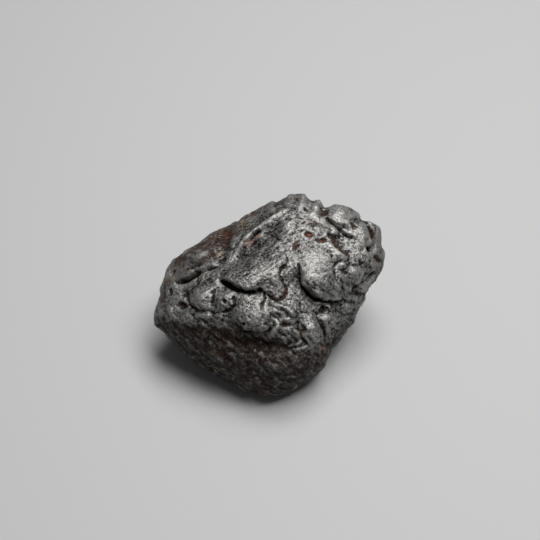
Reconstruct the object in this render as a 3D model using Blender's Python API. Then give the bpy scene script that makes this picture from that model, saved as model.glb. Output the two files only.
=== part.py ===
"""An iron meteorite that fits the palm: one closed, lumpy body in metres, standing on a small flat spot.

The body is a rounded block of flat faces, drawn to its outline, then worked over in layers: broad
swellings, ledges, cracks, pits and wrinkles on the side that shows, shallow thumb-sized hollows on the rest.
Places on the side that shows are given in millimetres to the right and up, as seen along the sight line.
"""
import math

import bmesh
import bpy
import numpy as np
from mathutils import Vector, noise
from mathutils.bvhtree import BVHTree

MM = 0.001

# How the stone is looked at: the sight line comes down at this slope, from this far off.
LOOK_DOWN = math.radians(55)
SIGHT_DISTANCE = 280.0

# The flat spot under the stone: its height below the middle of the block and the least radius it has,
# and the block's middle as measured from the middle of the finished stone's footprint.
REST_DEPTH = 16.9
REST_RADIUS = 8.5
MIDDLE_X = 0.2
MIDDLE_Y = 0.5

# The block's rounding: a higher number gives crisper edges between its faces.
EDGE_CRISPNESS = 7.0

# Fineness: squares along one side of the starting cube, the share of detail moved to the side that
# shows, and the number of triangles the finished stone is thinned to.
GRID = 76
FRONT_SHARE = 0.3
TRIANGLES = 9600

# Relief in millimetres.
BROAD_WAVES = 0.8
FRONT_LUMPS = 0.45
FAR_LUMPS = 1.0
SMALL_LUMPS = 0.35
THUMBPRINT_DEPTH = 1.5
THUMBPRINTS = 15

RIGHT = np.array((1.0, 0.0, 0.0))
UP = np.array((0.0, math.sin(LOOK_DOWN), math.cos(LOOK_DOWN)))
TOWARD = np.array((0.0, -math.cos(LOOK_DOWN), math.sin(LOOK_DOWN)))
EYE = TOWARD * SIGHT_DISTANCE

# The block's faces: heading round the sight line (0 to the right, 90 up), tilt away from it, distance.
FACES = (
    (75, 10, 17.5),
    (122, 36, 17.0),
    (60, 30, 18.5),
    (-100, 24, 18.0),
    (180, 32, 20.0),
    (0, 42, 21.0),
    (-97, 64, 20.5),
    (125, 66, 19.5),
    (-175, 80, 27.5),
    (-140, 70, 23.5),
    (-38, 66, 20.0),
    (5, 76, 27.0),
    (50, 75, 27.5),
    (95, 80, 24.0),
    (-90, 130, 20.3),
    (-90, 160, 20.0),
    (-62, 141, 20.5),
    (-118, 141, 20.5),
    (90, 140, 19.0),
    (180, 125, 23.0),
    (0, 125, 23.0),
    (-60, 110, 22.0),
    (45, 130, 20.0),
    (135, 125, 21.0),
)

# The outline as seen, clockwise from the left end.
OUTLINE = (
    (-29.1, -5), (-28.75, -2.5), (-27.75, 0.25), (-27.25, 3), (-26.75, 5), (-26, 7), (-24.5, 9.25),
    (-22.5, 10.75), (-20, 12), (-18, 13.25), (-16.25, 14.5), (-14.5, 15.75), (-12.5, 16.75), (-10, 17.75),
    (-8, 18.75), (-6.25, 20), (-4.25, 21.25), (-2, 22.5), (0, 23.5), (1.75, 23.75), (3.25, 24.75),
    (5, 25.5), (6.75, 25.5), (8.5, 25.5), (9.75, 24.5), (11, 24), (12.25, 24), (13.25, 23), (14, 22.5),
    (15.25, 22.75), (16.5, 23.25), (18, 23), (19.5, 22.5), (21, 21.5), (22, 20.75), (23, 19.5),
    (23.5, 19), (25, 19), (26.25, 18.25), (27.5, 17), (28.25, 15.5), (28.5, 13.75), (28.75, 12),
    (29, 9.25), (28.75, 7.25), (28, 5.25), (27, 3.5), (25.75, 1.75), (24.5, 0.25), (24, -1.25), (23, -3),
    (22, -4.75), (21, -6.75), (19.75, -8.5), (18.5, -10.25), (17, -12), (15.5, -13.75), (14.75, -15.75),
    (14, -17.75), (12.5, -19.5), (10.75, -20.75), (8.75, -22), (6.75, -23.25), (4.5, -24.25), (2, -25),
    (-0.5, -25.25), (-3, -25), (-6, -24), (-9, -22.5), (-12, -21), (-15, -19.25), (-18, -17.5),
    (-20.5, -15.75), (-22.5, -14), (-24, -12.5), (-25.25, -11.25), (-26.5, -10), (-27.75, -9),
    (-28.75, -7.25),
)


def start_grid():
    """A cube's grid pushed out to a ball, closer set on the side that shows: the mesh and its directions."""
    bm = bmesh.new()
    bmesh.ops.create_cube(bm, size=2.0)
    bmesh.ops.subdivide_edges(bm, edges=bm.edges[:], cuts=GRID - 1, use_grid_fill=True)
    mesh = bpy.data.meshes.new("meteorite")
    bm.to_mesh(mesh)
    bm.free()
    corners = np.empty(len(mesh.vertices) * 3)
    mesh.vertices.foreach_get("co", corners)
    corners = np.tan(corners.reshape(-1, 3) * math.pi / 4)
    ball = corners[:, :1] * RIGHT + corners[:, 1:2] * UP + corners[:, 2:] * TOWARD
    ball /= np.linalg.norm(ball, axis=1)[:, None]
    ball += FRONT_SHARE * TOWARD
    ball /= np.linalg.norm(ball, axis=1)[:, None]
    return mesh, ball


def face_normal(heading, tilt):
    h = math.radians(heading)
    t = math.radians(tilt)
    return math.sin(t) * (math.cos(h) * RIGHT + math.sin(h) * UP) + math.cos(t) * TOWARD


def block(directions):
    """Points of the rounded block along the directions."""
    total = np.zeros(len(directions))
    for heading, tilt, distance in FACES:
        share = np.maximum(directions @ face_normal(heading, tilt), 0) / distance
        total += share ** EDGE_CRISPNESS
    return directions * (total ** (-1 / EDGE_CRISPNESS))[:, None]


def seen(points):
    """How far right and up the points show, at the distance of the stone's middle, and their depth."""
    away = points - EYE
    depth = -(away @ TOWARD)
    scale = SIGHT_DISTANCE / depth
    return away @ RIGHT * scale, away @ UP * scale, depth


def unseen(right, up, depth):
    """The points that show there at that depth."""
    scale = (depth / SIGHT_DISTANCE)[:, None]
    return EYE + scale * (right[:, None] * RIGHT + up[:, None] * UP - SIGHT_DISTANCE * TOWARD)


def blur(ring, spread):
    """A ring of values averaged over their neighbours on either side."""
    return np.mean([np.roll(ring, k) for k in range(-spread, spread + 1)], axis=0)


def fit_outline(points, power, spread=0, slots=240):
    """Draw the points in or out across the sight line until they meet the outline.

    A high power keeps the change near the rim. The change is averaged over spread slots.
    """
    right, up, depth = seen(points)
    turn = np.arctan2(up, right)
    reach = np.hypot(right, up)
    slot = ((turn + math.pi) / (2 * math.pi) * slots).astype(int) % slots
    now = np.zeros(slots)
    np.maximum.at(now, slot, reach)
    now = np.max([np.roll(now, k) for k in (-1, 0, 1)], axis=0)
    now = blur(now, 1)
    rim = np.array(OUTLINE, float)
    order = np.argsort(np.arctan2(rim[:, 1], rim[:, 0]))
    rim = rim[order]
    middles = (np.arange(slots) + 0.5) / slots * 2 * math.pi - math.pi
    rim_turn = np.arctan2(rim[:, 1], rim[:, 0])
    wanted = np.interp(middles, rim_turn, np.hypot(rim[:, 0], rim[:, 1]), period=2 * math.pi)
    change = wanted / now
    if spread:
        change = blur(blur(change, spread), spread)
    change = np.interp(turn, middles, change, period=2 * math.pi)
    edge = np.interp(turn, middles, now, period=2 * math.pi)
    grow = 1 + (change - 1) * np.minimum(reach / edge, 1) ** power
    return unseen(right * grow, up * grow, depth)


class Skin:
    """The stone's surface while it is worked: points, outward normals, and the layer of height being laid."""

    def __init__(self, mesh, points):
        self.mesh = mesh
        self.take(points)

    def take(self, points):
        self.points = points
        self.height = np.zeros(len(points))
        self.mesh.vertices.foreach_set("co", points.ravel())
        self.mesh.update()
        normals = np.empty(len(points) * 3)
        self.mesh.vertex_normals.foreach_get("vector", normals)
        self.normals = normals.reshape(-1, 3)
        bm = bmesh.new()
        bm.from_mesh(self.mesh)
        self.tree = BVHTree.FromBMesh(bm)
        bm.free()

    def settle(self):
        """Add the layer of height to the surface."""
        self.take(self.points + self.normals * self.height[:, None])

    def hit(self, start, direction):
        place, normal, _, _ = self.tree.ray_cast(Vector(start), Vector(direction).normalized())
        if place is None:
            return None
        return np.array(place), np.array(normal)

    def spot(self, right, up):
        """The place on the surface, and its normal, that shows at (right, up)."""
        return self.hit(EYE, right * RIGHT + up * UP - SIGHT_DISTANCE * TOWARD)

    def far_spot(self, direction):
        """The place met when coming straight in from a direction, and its normal."""
        return self.hit(direction * 100, -direction)


def curve(points, step=0.5):
    """A smooth line through the points, cut into short pieces."""
    line = np.array(points, float)
    line = np.vstack([2 * line[0] - line[1], line, 2 * line[-1] - line[-2]])
    out = []
    for i in range(1, len(line) - 2):
        a, b, c, d = line[i - 1:i + 3]
        pieces = max(1, int(np.linalg.norm(c - b) / step))
        for k in range(pieces):
            t = k / pieces
            slope = (c - a) * t
            bend = (2 * a - 5 * b + 4 * c - d) * t * t
            twist = (3 * b - a - 3 * c + d) * t ** 3
            out.append(0.5 * (2 * b + slope + bend + twist))
    out.append(line[-2])
    return out


def along(skin, points, reach):
    """Surface points near a line: indices, distance from it, side (+1 on its left) and share along it."""
    spots = [skin.spot(right, up) for right, up in curve(points)]
    spots = [spot for spot in spots if spot]
    path = np.array([spot[0] for spot in spots])
    low = path.min(0) - reach
    high = path.max(0) + reach
    near = np.nonzero(((skin.points > low) & (skin.points < high)).all(1))[0]
    places = skin.points[near]
    steps = np.diff(path, axis=0)
    lengths = np.linalg.norm(steps, axis=1)
    starts = np.concatenate([[0], np.cumsum(lengths)])
    distance = np.full(len(near), 1e9)
    side = np.zeros(len(near))
    share = np.zeros(len(near))
    for i, step in enumerate(steps):
        t = np.clip((places - path[i]) @ step / lengths[i] ** 2, 0, 1)
        away = places - path[i] - t[:, None] * step
        gap = np.linalg.norm(away, axis=1)
        closer = gap < distance
        left = np.cross(spots[i][1], step)
        distance = np.where(closer, gap, distance)
        side = np.where(closer, np.sign(away @ left), side)
        share = np.where(closer, (starts[i] + t * lengths[i]) / starts[-1], share)
    return near, distance, side, share


def fade(share, head, tail):
    """1 in the middle of a line, easing to 0 over its head and tail."""
    s = np.clip(share / head, 0, 1) * np.clip((1 - share) / tail, 0, 1)
    return s * s * (3 - 2 * s)


def crack(skin, points, width, depth, head=0.25, tail=0.25, shoulder=0.25):
    """A crack of half-width width, with rounded shoulders."""
    near, distance, side, share = along(skin, points, width * 5)
    narrow = np.exp(-(distance / width * 1.3) ** 2)
    broad = np.exp(-(distance / width / 2.4) ** 2)
    shape = (1 - shoulder) * narrow + shoulder * broad
    skin.height[near] -= depth * shape * fade(share, head, tail)


def ridge(skin, points, width, rise, head=0.25, tail=0.25):
    near, distance, side, share = along(skin, points, width * 3)
    skin.height[near] += rise * np.exp(-(distance / width) ** 2) * fade(share, head, tail)


def ledge(skin, points, rise, lip, fall, reach, head=0.2, tail=0.2):
    """A rounded step: the surface stands up on the line's left and is sunk on its right."""
    near, distance, side, share = along(skin, points, reach * 2.5)
    across = distance * side
    inner = np.clip(across, 0, lip) / lip
    nose = np.sqrt(1 - (1 - inner) ** 2)
    back = np.exp(-((across - lip) / reach) ** 2)
    high = rise * np.where(across < lip, nose, back)
    low = -fall * np.exp(-(across / reach) ** 2)
    skin.height[near] += np.where(across >= 0, high, low) * fade(share, head, tail)


def swelling(skin, place, normal, rx, ry, rise, turn=0):
    """A rounded swelling, or a hollow where the rise is negative, turned anticlockwise."""
    flat = RIGHT - (RIGHT @ normal) * normal
    flat /= np.linalg.norm(flat)
    other = np.cross(normal, flat)
    t = math.radians(turn)
    long_way = flat * math.cos(t) + other * math.sin(t)
    short_way = other * math.cos(t) - flat * math.sin(t)
    away = skin.points - place
    r2 = (away @ long_way / rx) ** 2 + (away @ short_way / ry) ** 2 + (away @ normal / max(rx, ry)) ** 2
    inside = r2 < 1
    skin.height[inside] += rise * (1 - r2[inside]) ** 2


def bump(skin, right, up, rx, ry, rise, turn=0):
    place, normal = skin.spot(right, up)
    swelling(skin, place, normal, rx, ry, rise, turn)


def waves(skin, size, seed):
    shift = Vector((17.13, 9.71, 5.37)) * seed
    return np.array([noise.noise(Vector(p) + shift) for p in skin.points / size])


def lumps(skin, size, seed):
    """Rounded lumps with sharp creases between them, 0 in the creases and about 0.5 on the lumps."""
    shift = Vector((11.3, 3.9, 7.7)) * seed
    out = np.zeros(len(skin.points))
    for i, p in enumerate(skin.points / size):
        v = Vector(p) + shift
        bend = noise.noise(v * 0.7)
        swirl = noise.noise(v.yzx * 0.7)
        out[i] = abs(noise.noise(v + Vector((bend, swirl, bend - swirl)) * 0.6))
    return out


def streaks(skin, turn, long, short, seed):
    """Waves drawn out along a line turned anticlockwise from the right, as seen."""
    right, up, depth = seen(skin.points)
    t = math.radians(turn)
    a = (right * math.cos(t) + up * math.sin(t)) / long + seed * 13.7
    b = (up * math.cos(t) - right * math.sin(t)) / short - seed * 7.3
    return np.array([noise.noise(Vector(p)) for p in zip(a, b, depth / long)])


def patch(skin, right, up, rx, ry, turn):
    """1 at a spot on the side that shows, easing to 0 at the patch's edge."""
    across, high, depth = seen(skin.points)
    t = math.radians(turn)
    x = across - right
    y = high - up
    r2 = ((x * math.cos(t) + y * math.sin(t)) / rx) ** 2 + ((y * math.cos(t) - x * math.sin(t)) / ry) ** 2
    facing = np.clip((skin.normals @ TOWARD) * 3 + 0.5, 0, 1)
    return (1 - np.minimum(r2, 1)) ** 2 * facing


def broad_forms(skin):
    """Cushions and hollows a finger could feel, and the two valleys down the upper left."""
    skin.height += BROAD_WAVES * waves(skin, 12, 1)
    bump(skin, -2.5, 5.25, 11, 6.5, 1.6, 25)
    bump(skin, 13, 7.75, 9, 8.5, 1.8)
    bump(skin, 18.75, 20, 6.5, 4.5, 1.0, -30)
    bump(skin, -17.5, 10.75, 6.5, 5, 1.0, 40)
    bump(skin, -16.5, -0.75, 5.5, 5, 1.1)
    bump(skin, -11, -1.25, 3.75, 4, 0.6)
    bump(skin, -5, -4.25, 5.5, 5, 1.2)
    bump(skin, 3.5, -2.75, 4.5, 3, 0.6)
    bump(skin, 10.5, -9.5, 4.5, 5.5, 1.3)
    bump(skin, -2, -12.75, 10, 3.25, -1.8)
    bump(skin, 3.5, -17.25, 8.5, 4, 1.2)
    bump(skin, -11.25, -11.25, 6.5, 3.5, -0.8)
    bump(skin, -13.75, -15.75, 6, 3, 0.6, -30)
    bump(skin, 18.25, 13, 4.5, 3.75, -0.9, -30)
    bump(skin, 20, 4.75, 5.5, 4.5, 0.7, 20)
    bump(skin, -21.5, -6.75, 4, 3, 0.6)
    crack(skin, [(-11.5, 6), (-8.5, 9.75), (-5, 12.5), (-0.5, 15.75), (3.5, 19.5)], 2.6, 1.3)
    crack(skin, [(-10, 17), (-11, 13.75), (-12, 9.75), (-12, 6.75)], 1.6, 1.0)
    skin.settle()


def thumbprints(skin):
    """Shallow hollows over the sides and back, spread evenly round by the golden angle."""
    golden = math.pi * (3 - math.sqrt(5))
    for i in range(THUMBPRINTS):
        depth = -0.05 - 0.9 * i / (THUMBPRINTS - 1)
        wide = math.sqrt(1 - depth * depth)
        turn = golden * i + 0.4
        way = wide * (math.cos(turn) * RIGHT + math.sin(turn) * UP) + depth * TOWARD
        if way[2] < -0.75:
            continue
        place, normal = skin.far_spot(way)
        size = 9 + 2 * math.sin(2.1 * i)
        swelling(skin, place, normal, size, size * 0.8, -THUMBPRINT_DEPTH, 50 * i)
    skin.settle()


def middle_ledge(skin):
    """The long ledge under the middle cushion and the crease that runs up its right end."""
    edge = [(-13.25, 4.5), (-11.75, 3.5), (-10.25, 2.5), (-8.5, 1.75), (-6.75, 1), (-5, 1), (-3.25, 0.75),
            (-1.75, 0.5)]
    ledge(skin, edge, 1.0, 0.9, 0.7, 2.6)
    crack(skin, edge, 0.5, 1.3, 0.2, 0.15)
    crease = [(-1.75, 0.5), (-0.25, -0.75), (1.5, -1.5), (2.75, -1), (3.75, 0.25), (4, 2), (3.25, 3.75),
              (2.75, 5.5), (3.25, 6.75), (4.25, 8), (4.5, 9.5), (4, 10.75)]
    ledge(skin, crease, 0.45, 0.9, 0.3, 2.0)
    crack(skin, crease, 0.4, 0.8, 0.1, 0.2)


def right_ledge(skin):
    """The overhanging edge under the right cushion, fading out along the right rim."""
    edge = [(7.75, 7.25), (7.5, 5), (8, 3), (9, 1.75), (10, 0.25), (11.5, -0.75), (12.75, -1.75), (14, -2.25),
            (15.25, -3)]
    ledge(skin, edge, 1.5, 1.0, 1.2, 3.0)
    crack(skin, edge, 0.5, 1.0, 0.3, 0.1)
    rim = [(15.25, -3), (17.5, -2), (20, -0.5), (22.5, 2), (24.25, 4.25), (25.25, 6.75)]
    ledge(skin, rim, 0.5, 0.9, 0.6, 1.8)


def left_crack(skin):
    edge = [(-24, 2.5), (-23, 3.25), (-21.75, 3.75), (-20, 4.25), (-18.25, 5), (-16.75, 6), (-15.25, 6.75),
            (-14, 7), (-12.75, 7.75)]
    ledge(skin, edge, 0.7, 0.7, 0.8, 2.0)
    crack(skin, edge, 0.45, 1.1, 0.15, 0.4)


def upper_right_lobe(skin):
    """The lobe cut off by a straight crack, the sunken plate below it and the deep groove behind it."""
    edge = [(14, 19.5), (15, 18.5), (16.25, 17.5), (17.5, 16.5), (18.75, 15.25), (19.75, 14.5), (21, 14.25),
            (22, 13.75), (23, 12.75), (24, 11.75), (25, 11.25), (25.75, 11.5)]
    ledge(skin, edge, 0.6, 0.8, 0.5, 2.2)
    crack(skin, edge, 0.4, 0.9, 0.1, 0.3)
    plate = [(14.5, 16.5), (14.25, 15.25), (15.25, 13.5), (15.75, 12.25), (17, 11), (18.5, 10.25), (20, 9.75),
             (21.75, 9.5)]
    ledge(skin, plate, -0.8, 0.8, -0.5, 1.6)
    ridge(skin, [(15.25, 16.75), (13.5, 15), (11.75, 13), (10.5, 11.25)], 0.8, 0.5)
    ridge(skin, [(13, 13.5), (15.25, 11.75), (17.25, 10), (19.75, 9.25)], 0.7, 0.6)
    groove = [(23.25, 19), (24.25, 18), (25, 17), (25.5, 15.5), (25.75, 13.75), (25.75, 12.25),
              (25.25, 11.25)]
    crack(skin, groove, 0.5, 1.5, 0.25, 0.05)
    bump(skin, 25, 11.5, 1.5, 1.25, -1.2)
    crack(skin, [(14.25, 22.75), (13.75, 21.25), (14, 19.5)], 0.5, 0.9, 0.05, 0.3)
    crack(skin, [(19.75, 19), (21.25, 18.75), (23, 19)], 0.3, 0.5)
    crack(skin, [(20, 18), (21.25, 17.5), (22, 16.5)], 0.3, 0.6)


def left_cushion(skin):
    crack(skin, [(-21, 1.5), (-20.5, -0.5), (-20, -2), (-19, -3.5), (-17.25, -4.25), (-15.5, -4), (-13.5, -4),
                 (-11, -4), (-9.25, -3.5)], 0.45, 0.8)
    crack(skin, [(-9.25, 1.75), (-8.5, 0), (-8.75, -2), (-9.75, -3.5)], 0.4, 0.8)
    crack(skin, [(-14, 1.25), (-14.25, -0.75), (-14, -2.75)], 0.4, 0.5)
    bump(skin, -16, -0.75, 2, 2.25, -0.6)
    bump(skin, -22.25, -2.75, 2.75, 1.75, -1.3, -10)
    bump(skin, -23.75, 5.5, 1.5, 1.25, -1.2)
    bump(skin, -24, -4.5, 1.5, 1.75, 0.5)


def upper_left_spine(skin):
    ridge(skin, [(-9.5, 8.75), (-7.5, 12), (-5, 14.75), (-2, 17.25), (0.5, 19.25), (4.5, 22.25)], 0.6, 0.6)
    crack(skin, [(-7, 13), (-5, 14.25), (-3.75, 15.25), (-2, 16.5)], 0.4, 1.0)


def right_creases(skin):
    crack(skin, [(18.75, 9), (16.75, 8), (16, 6.25), (16.5, 3.75), (17.5, 2.25)], 0.5, 0.7)
    crack(skin, [(19, 9.5), (20.5, 7.75), (22, 7.5), (23.5, 8.25)], 0.4, 0.6)
    crack(skin, [(25.5, 5), (24, 3), (22.5, 1.5), (20.25, 0.25)], 0.5, 0.8)
    ridge(skin, [(26.75, 7.75), (26.5, 5.5), (24.75, 3), (22.75, 0.75)], 0.5, 0.5)
    bump(skin, 17.75, 7.25, 1.5, 1.25, 0.5)


def lower_lobes(skin):
    """Creases and folds between the small lobes under the ledges, and the hole beside the lowest lump."""
    crack(skin, [(-2, 0.5), (-1.75, -1.25), (-2.25, -2.75)], 0.4, 0.7, 0.1, 0.4)
    crack(skin, [(12.25, -2.5), (12.75, -4.25), (13, -6.25), (14, -8.75), (14.25, -11.75)], 0.5, 0.8)
    crack(skin, [(6, -5.75), (7.25, -8), (7.75, -10.25), (9.5, -12.75)], 0.5, 0.7)
    crack(skin, [(1, -6.25), (0.5, -8.75), (-0.5, -11)], 0.45, 0.7)
    ridge(skin, [(3.5, -5.75), (1.75, -8.25), (-0.5, -11.75)], 0.7, 0.6)
    ridge(skin, [(7, -9.25), (5, -11.75), (2.5, -14.25)], 0.7, 0.5)
    bump(skin, 14.25, -4.25, 1.5, 1.25, -1.6)
    bump(skin, 15.25, -6, 2.5, 1.75, 0.9)
    bump(skin, 3.5, -7.25, 1.75, 1.5, -1.1)
    bump(skin, 3.75, -10.25, 1.25, 1.25, -0.8)


def small_pits(skin):
    bump(skin, 9.75, 15.25, 1.5, 1.25, -0.7)
    bump(skin, 13, 13.5, 1.75, 1, -0.8)
    bump(skin, 9, 21.5, 0.9, 0.9, -0.9)
    bump(skin, 11.75, 22, 1.5, 1.5, 0.5)
    bump(skin, 19, 17.25, 2.25, 1.75, -0.5)
    bump(skin, 5, 18.25, 1, 1.25, -0.4)


def wrinkles(skin):
    """Drawn-out wrinkles on three stretches, and lumps all over, gentler on the side that shows."""
    skin.height += 0.35 * streaks(skin, 38, 5, 1.3, 1) * patch(skin, -2, 14.75, 13, 8.5, 38)
    skin.height += 0.35 * streaks(skin, 40, 5, 1.1, 2) * patch(skin, -13.75, 15, 17.5, 5.5, 38)
    skin.height += 0.4 * streaks(skin, -40, 4, 1.2, 3) * patch(skin, -11.25, -12.5, 17.5, 8.5, -25)
    front = np.clip((skin.normals @ TOWARD) * 1.5, 0, 1)
    size = FAR_LUMPS + (FRONT_LUMPS - FAR_LUMPS) * front
    off_rest = np.clip((skin.normals[:, 2] + 0.97) * 8, 0, 1)
    skin.height += size * (lumps(skin, 5.5, 3) - 0.2) * off_rest
    skin.height += SMALL_LUMPS * (lumps(skin, 2.8, 4) - 0.2) * off_rest


def press_rest(skin):
    """Fill the underside's hollows over the flat spot, so that one cut leaves one spot."""
    away = np.hypot(skin.points[:, 0], skin.points[:, 1])
    depth = REST_DEPTH + 0.3 * (1 - (away / REST_RADIUS) ** 2)
    under = (away < REST_RADIUS) & (skin.points[:, 2] < 0)
    points = skin.points.copy()
    points[under, 2] = np.minimum(points[under, 2], -depth[under])
    skin.take(points)


def stone():
    """The worked surface, in millimetres about the middle of the block."""
    mesh, directions = start_grid()
    points = block(directions)
    for _ in range(2):
        points = fit_outline(points, 2.0, 5)
    for _ in range(2):
        points = fit_outline(points, 8.0)
    skin = Skin(mesh, points)
    broad_forms(skin)
    thumbprints(skin)
    middle_ledge(skin)
    right_ledge(skin)
    left_crack(skin)
    upper_right_lobe(skin)
    left_cushion(skin)
    upper_left_spine(skin)
    right_creases(skin)
    lower_lobes(skin)
    skin.settle()
    small_pits(skin)
    wrinkles(skin)
    skin.settle()
    skin.take(fit_outline(skin.points, 6.0))
    press_rest(skin)
    return skin


def thin_out(obj):
    """Merge triangles where the surface is calm, keeping the creases sharp."""
    total = sum(len(face.vertices) - 2 for face in obj.data.polygons)
    decimate = obj.modifiers.new("thin", "DECIMATE")
    decimate.ratio = TRIANGLES / total
    decimate.use_collapse_triangulate = True
    graph = bpy.context.evaluated_depsgraph_get()
    thinned = bpy.data.meshes.new_from_object(obj.evaluated_get(graph))
    obj.modifiers.remove(decimate)
    old = obj.data
    obj.data = thinned
    bpy.data.meshes.remove(old)
    thinned.name = "meteorite"


def cut_rest(mesh):
    """Cut the underside off flat at height zero and close the cut."""
    bm = bmesh.new()
    bm.from_mesh(mesh)
    everything = bm.verts[:] + bm.edges[:] + bm.faces[:]
    cut = bmesh.ops.bisect_plane(bm, geom=everything, plane_no=(0, 0, 1), clear_inner=True)
    rim = [item for item in cut["geom_cut"] if isinstance(item, bmesh.types.BMEdge)]
    bmesh.ops.triangle_fill(bm, use_beauty=True, edges=rim)
    bmesh.ops.recalc_face_normals(bm, faces=bm.faces[:])
    bm.to_mesh(mesh)
    bm.free()


def crust_material():
    """Dark grey fusion crust with a dull metallic sheen."""
    material = bpy.data.materials.new("fusion_crust")
    material.use_nodes = True
    shader = material.node_tree.nodes["Principled BSDF"]
    shader.inputs["Base Color"].default_value = (0.09, 0.085, 0.08, 1)
    shader.inputs["Metallic"].default_value = 0.6
    shader.inputs["Roughness"].default_value = 0.45
    return material


def build():
    for obj in list(bpy.data.objects):
        bpy.data.objects.remove(obj, do_unlink=True)
    skin = stone()
    shift = np.array((MIDDLE_X, MIDDLE_Y, REST_DEPTH))
    points = (skin.points + shift) * MM
    skin.mesh.vertices.foreach_set("co", points.ravel())
    skin.mesh.update()
    obj = bpy.data.objects.new("meteorite", skin.mesh)
    bpy.context.scene.collection.objects.link(obj)
    thin_out(obj)
    cut_rest(obj.data)
    obj.data.materials.append(crust_material())


build()
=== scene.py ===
# %% [markdown]
# # A small iron meteorite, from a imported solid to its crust
#
# An iron that fell through the air with a molten skin has no parts to assemble. All of its looks are in
# that one skin: cushions that flowed while it was hot, ledges where one flow froze over another, cracks,
# pits, and rust in every hollow that held water afterwards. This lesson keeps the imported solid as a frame,
# then makes a much finer skin of the same form over it, in the order in which a sculptor would work: the
# block, the outline, the big cushions, the edges, the small marks, and last the finish and the light.

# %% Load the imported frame
import math
import time

import bmesh
import bpy
import numpy as np
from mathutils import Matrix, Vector, noise
from mathutils.bvhtree import BVHTree


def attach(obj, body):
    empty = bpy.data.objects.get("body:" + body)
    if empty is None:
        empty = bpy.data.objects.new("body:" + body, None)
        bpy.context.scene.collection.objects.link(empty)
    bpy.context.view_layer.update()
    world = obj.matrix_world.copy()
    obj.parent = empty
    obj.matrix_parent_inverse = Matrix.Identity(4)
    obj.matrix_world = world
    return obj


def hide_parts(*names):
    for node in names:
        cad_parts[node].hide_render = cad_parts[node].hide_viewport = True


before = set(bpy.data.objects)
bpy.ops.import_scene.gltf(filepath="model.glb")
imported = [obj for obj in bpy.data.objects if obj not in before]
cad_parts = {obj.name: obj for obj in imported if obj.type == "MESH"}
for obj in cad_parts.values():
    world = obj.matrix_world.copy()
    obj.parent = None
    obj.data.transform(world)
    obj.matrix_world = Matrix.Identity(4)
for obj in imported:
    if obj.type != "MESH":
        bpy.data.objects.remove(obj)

started = time.time()
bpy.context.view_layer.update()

# %% [markdown]
# ## The sight line and the camera
#
# The stone is placed by how it shows from one direction, so that direction comes first. Points on the side
# that shows are given in millimetres to the right and up as seen along the sight line, at the distance of
# the stone's middle. The same three directions later place the camera, so the two can't disagree.

# %% Directions of sight
MM = 0.001
LOOK_DOWN = math.radians(55)
SIGHT_DISTANCE = 280.0
RIGHT = np.array((1.0, 0.0, 0.0))
UP = np.array((0.0, math.sin(LOOK_DOWN), math.cos(LOOK_DOWN)))
TOWARD = np.array((0.0, -math.cos(LOOK_DOWN), math.sin(LOOK_DOWN)))
EYE = TOWARD * SIGHT_DISTANCE
REST_DEPTH = 16.9
MIDDLE = np.array((0.2, 0.5, REST_DEPTH))


def seen(points):
    """How far right and up the points show, at the distance of the stone's middle, and their depth."""
    away = points - EYE
    depth = -(away @ TOWARD)
    scale = SIGHT_DISTANCE / depth
    return away @ RIGHT * scale, away @ UP * scale, depth


def unseen(right, up, depth):
    """The points that show there at that depth."""
    scale = (depth / SIGHT_DISTANCE)[:, None]
    return EYE + scale * (right[:, None] * RIGHT + up[:, None] * UP - SIGHT_DISTANCE * TOWARD)


print("the eye, from the stone's middle:", EYE.round(1), "mm")

# %% The camera on the sight line
AIM_ABOVE_MIDDLE = 6.25
FRAME_PIXELS = 540
FOCAL_PIXELS = 1120
SENSOR_WIDTH = 36
NEAREST_DRAWN = 0.01


def add_camera():
    """A camera at the eye, aimed a little above the stone's middle."""
    lens = bpy.data.cameras.new("sight")
    lens.sensor_width = SENSOR_WIDTH
    lens.lens = SENSOR_WIDTH * FOCAL_PIXELS / FRAME_PIXELS
    lens.clip_start = NEAREST_DRAWN
    camera = bpy.data.objects.new("sight", lens)
    bpy.context.scene.collection.objects.link(camera)
    camera.location = Vector((EYE + MIDDLE) * MM)
    aim = Vector((UP * AIM_ABOVE_MIDDLE + MIDDLE) * MM)
    camera.rotation_euler = (aim - camera.location).to_track_quat("-Z", "Y").to_euler()
    bpy.context.scene.camera = camera
    return camera


camera = add_camera()
print("camera at", [round(v, 3) for v in camera.location], "m, lens", round(camera.data.lens, 1), "mm")

# %% [markdown]
# ## The block
#
# A worn lump of iron still shows the flat faces that it broke or burned along. Each face is one plane: a
# heading round the sight line, a tilt away from it and a distance from the middle. Adding the planes' shares
# to a high power gives a block whose faces stay flat and whose edges are rounded, with nothing carved.
# The ball of points under it is a cube's grid pushed outwards, which has no poles, and a part of its detail
# is moved to the side that shows.

# %% The block's faces
EDGE_CRISPNESS = 7.0

# Each face has a heading round the sight line and a tilt away from it, in degrees, and a distance in mm.
FACES = (
    (75, 10, 17.5),
    (122, 36, 17.0),
    (60, 30, 18.5),
    (-100, 24, 18.0),
    (180, 32, 20.0),
    (0, 42, 21.0),
    (-97, 64, 20.5),
    (125, 66, 19.5),
    (-175, 80, 27.5),
    (-140, 70, 23.5),
    (-38, 66, 20.0),
    (5, 76, 27.0),
    (50, 75, 27.5),
    (95, 80, 24.0),
    (-90, 130, 20.3),
    (-90, 160, 20.0),
    (-62, 141, 20.5),
    (-118, 141, 20.5),
    (90, 140, 19.0),
    (180, 125, 23.0),
    (0, 125, 23.0),
    (-60, 110, 22.0),
    (45, 130, 20.0),
    (135, 125, 21.0),
)


def face_normal(heading, tilt):
    """The way that a face looks."""
    h = math.radians(heading)
    t = math.radians(tilt)
    return math.sin(t) * (math.cos(h) * RIGHT + math.sin(h) * UP) + math.cos(t) * TOWARD


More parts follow.
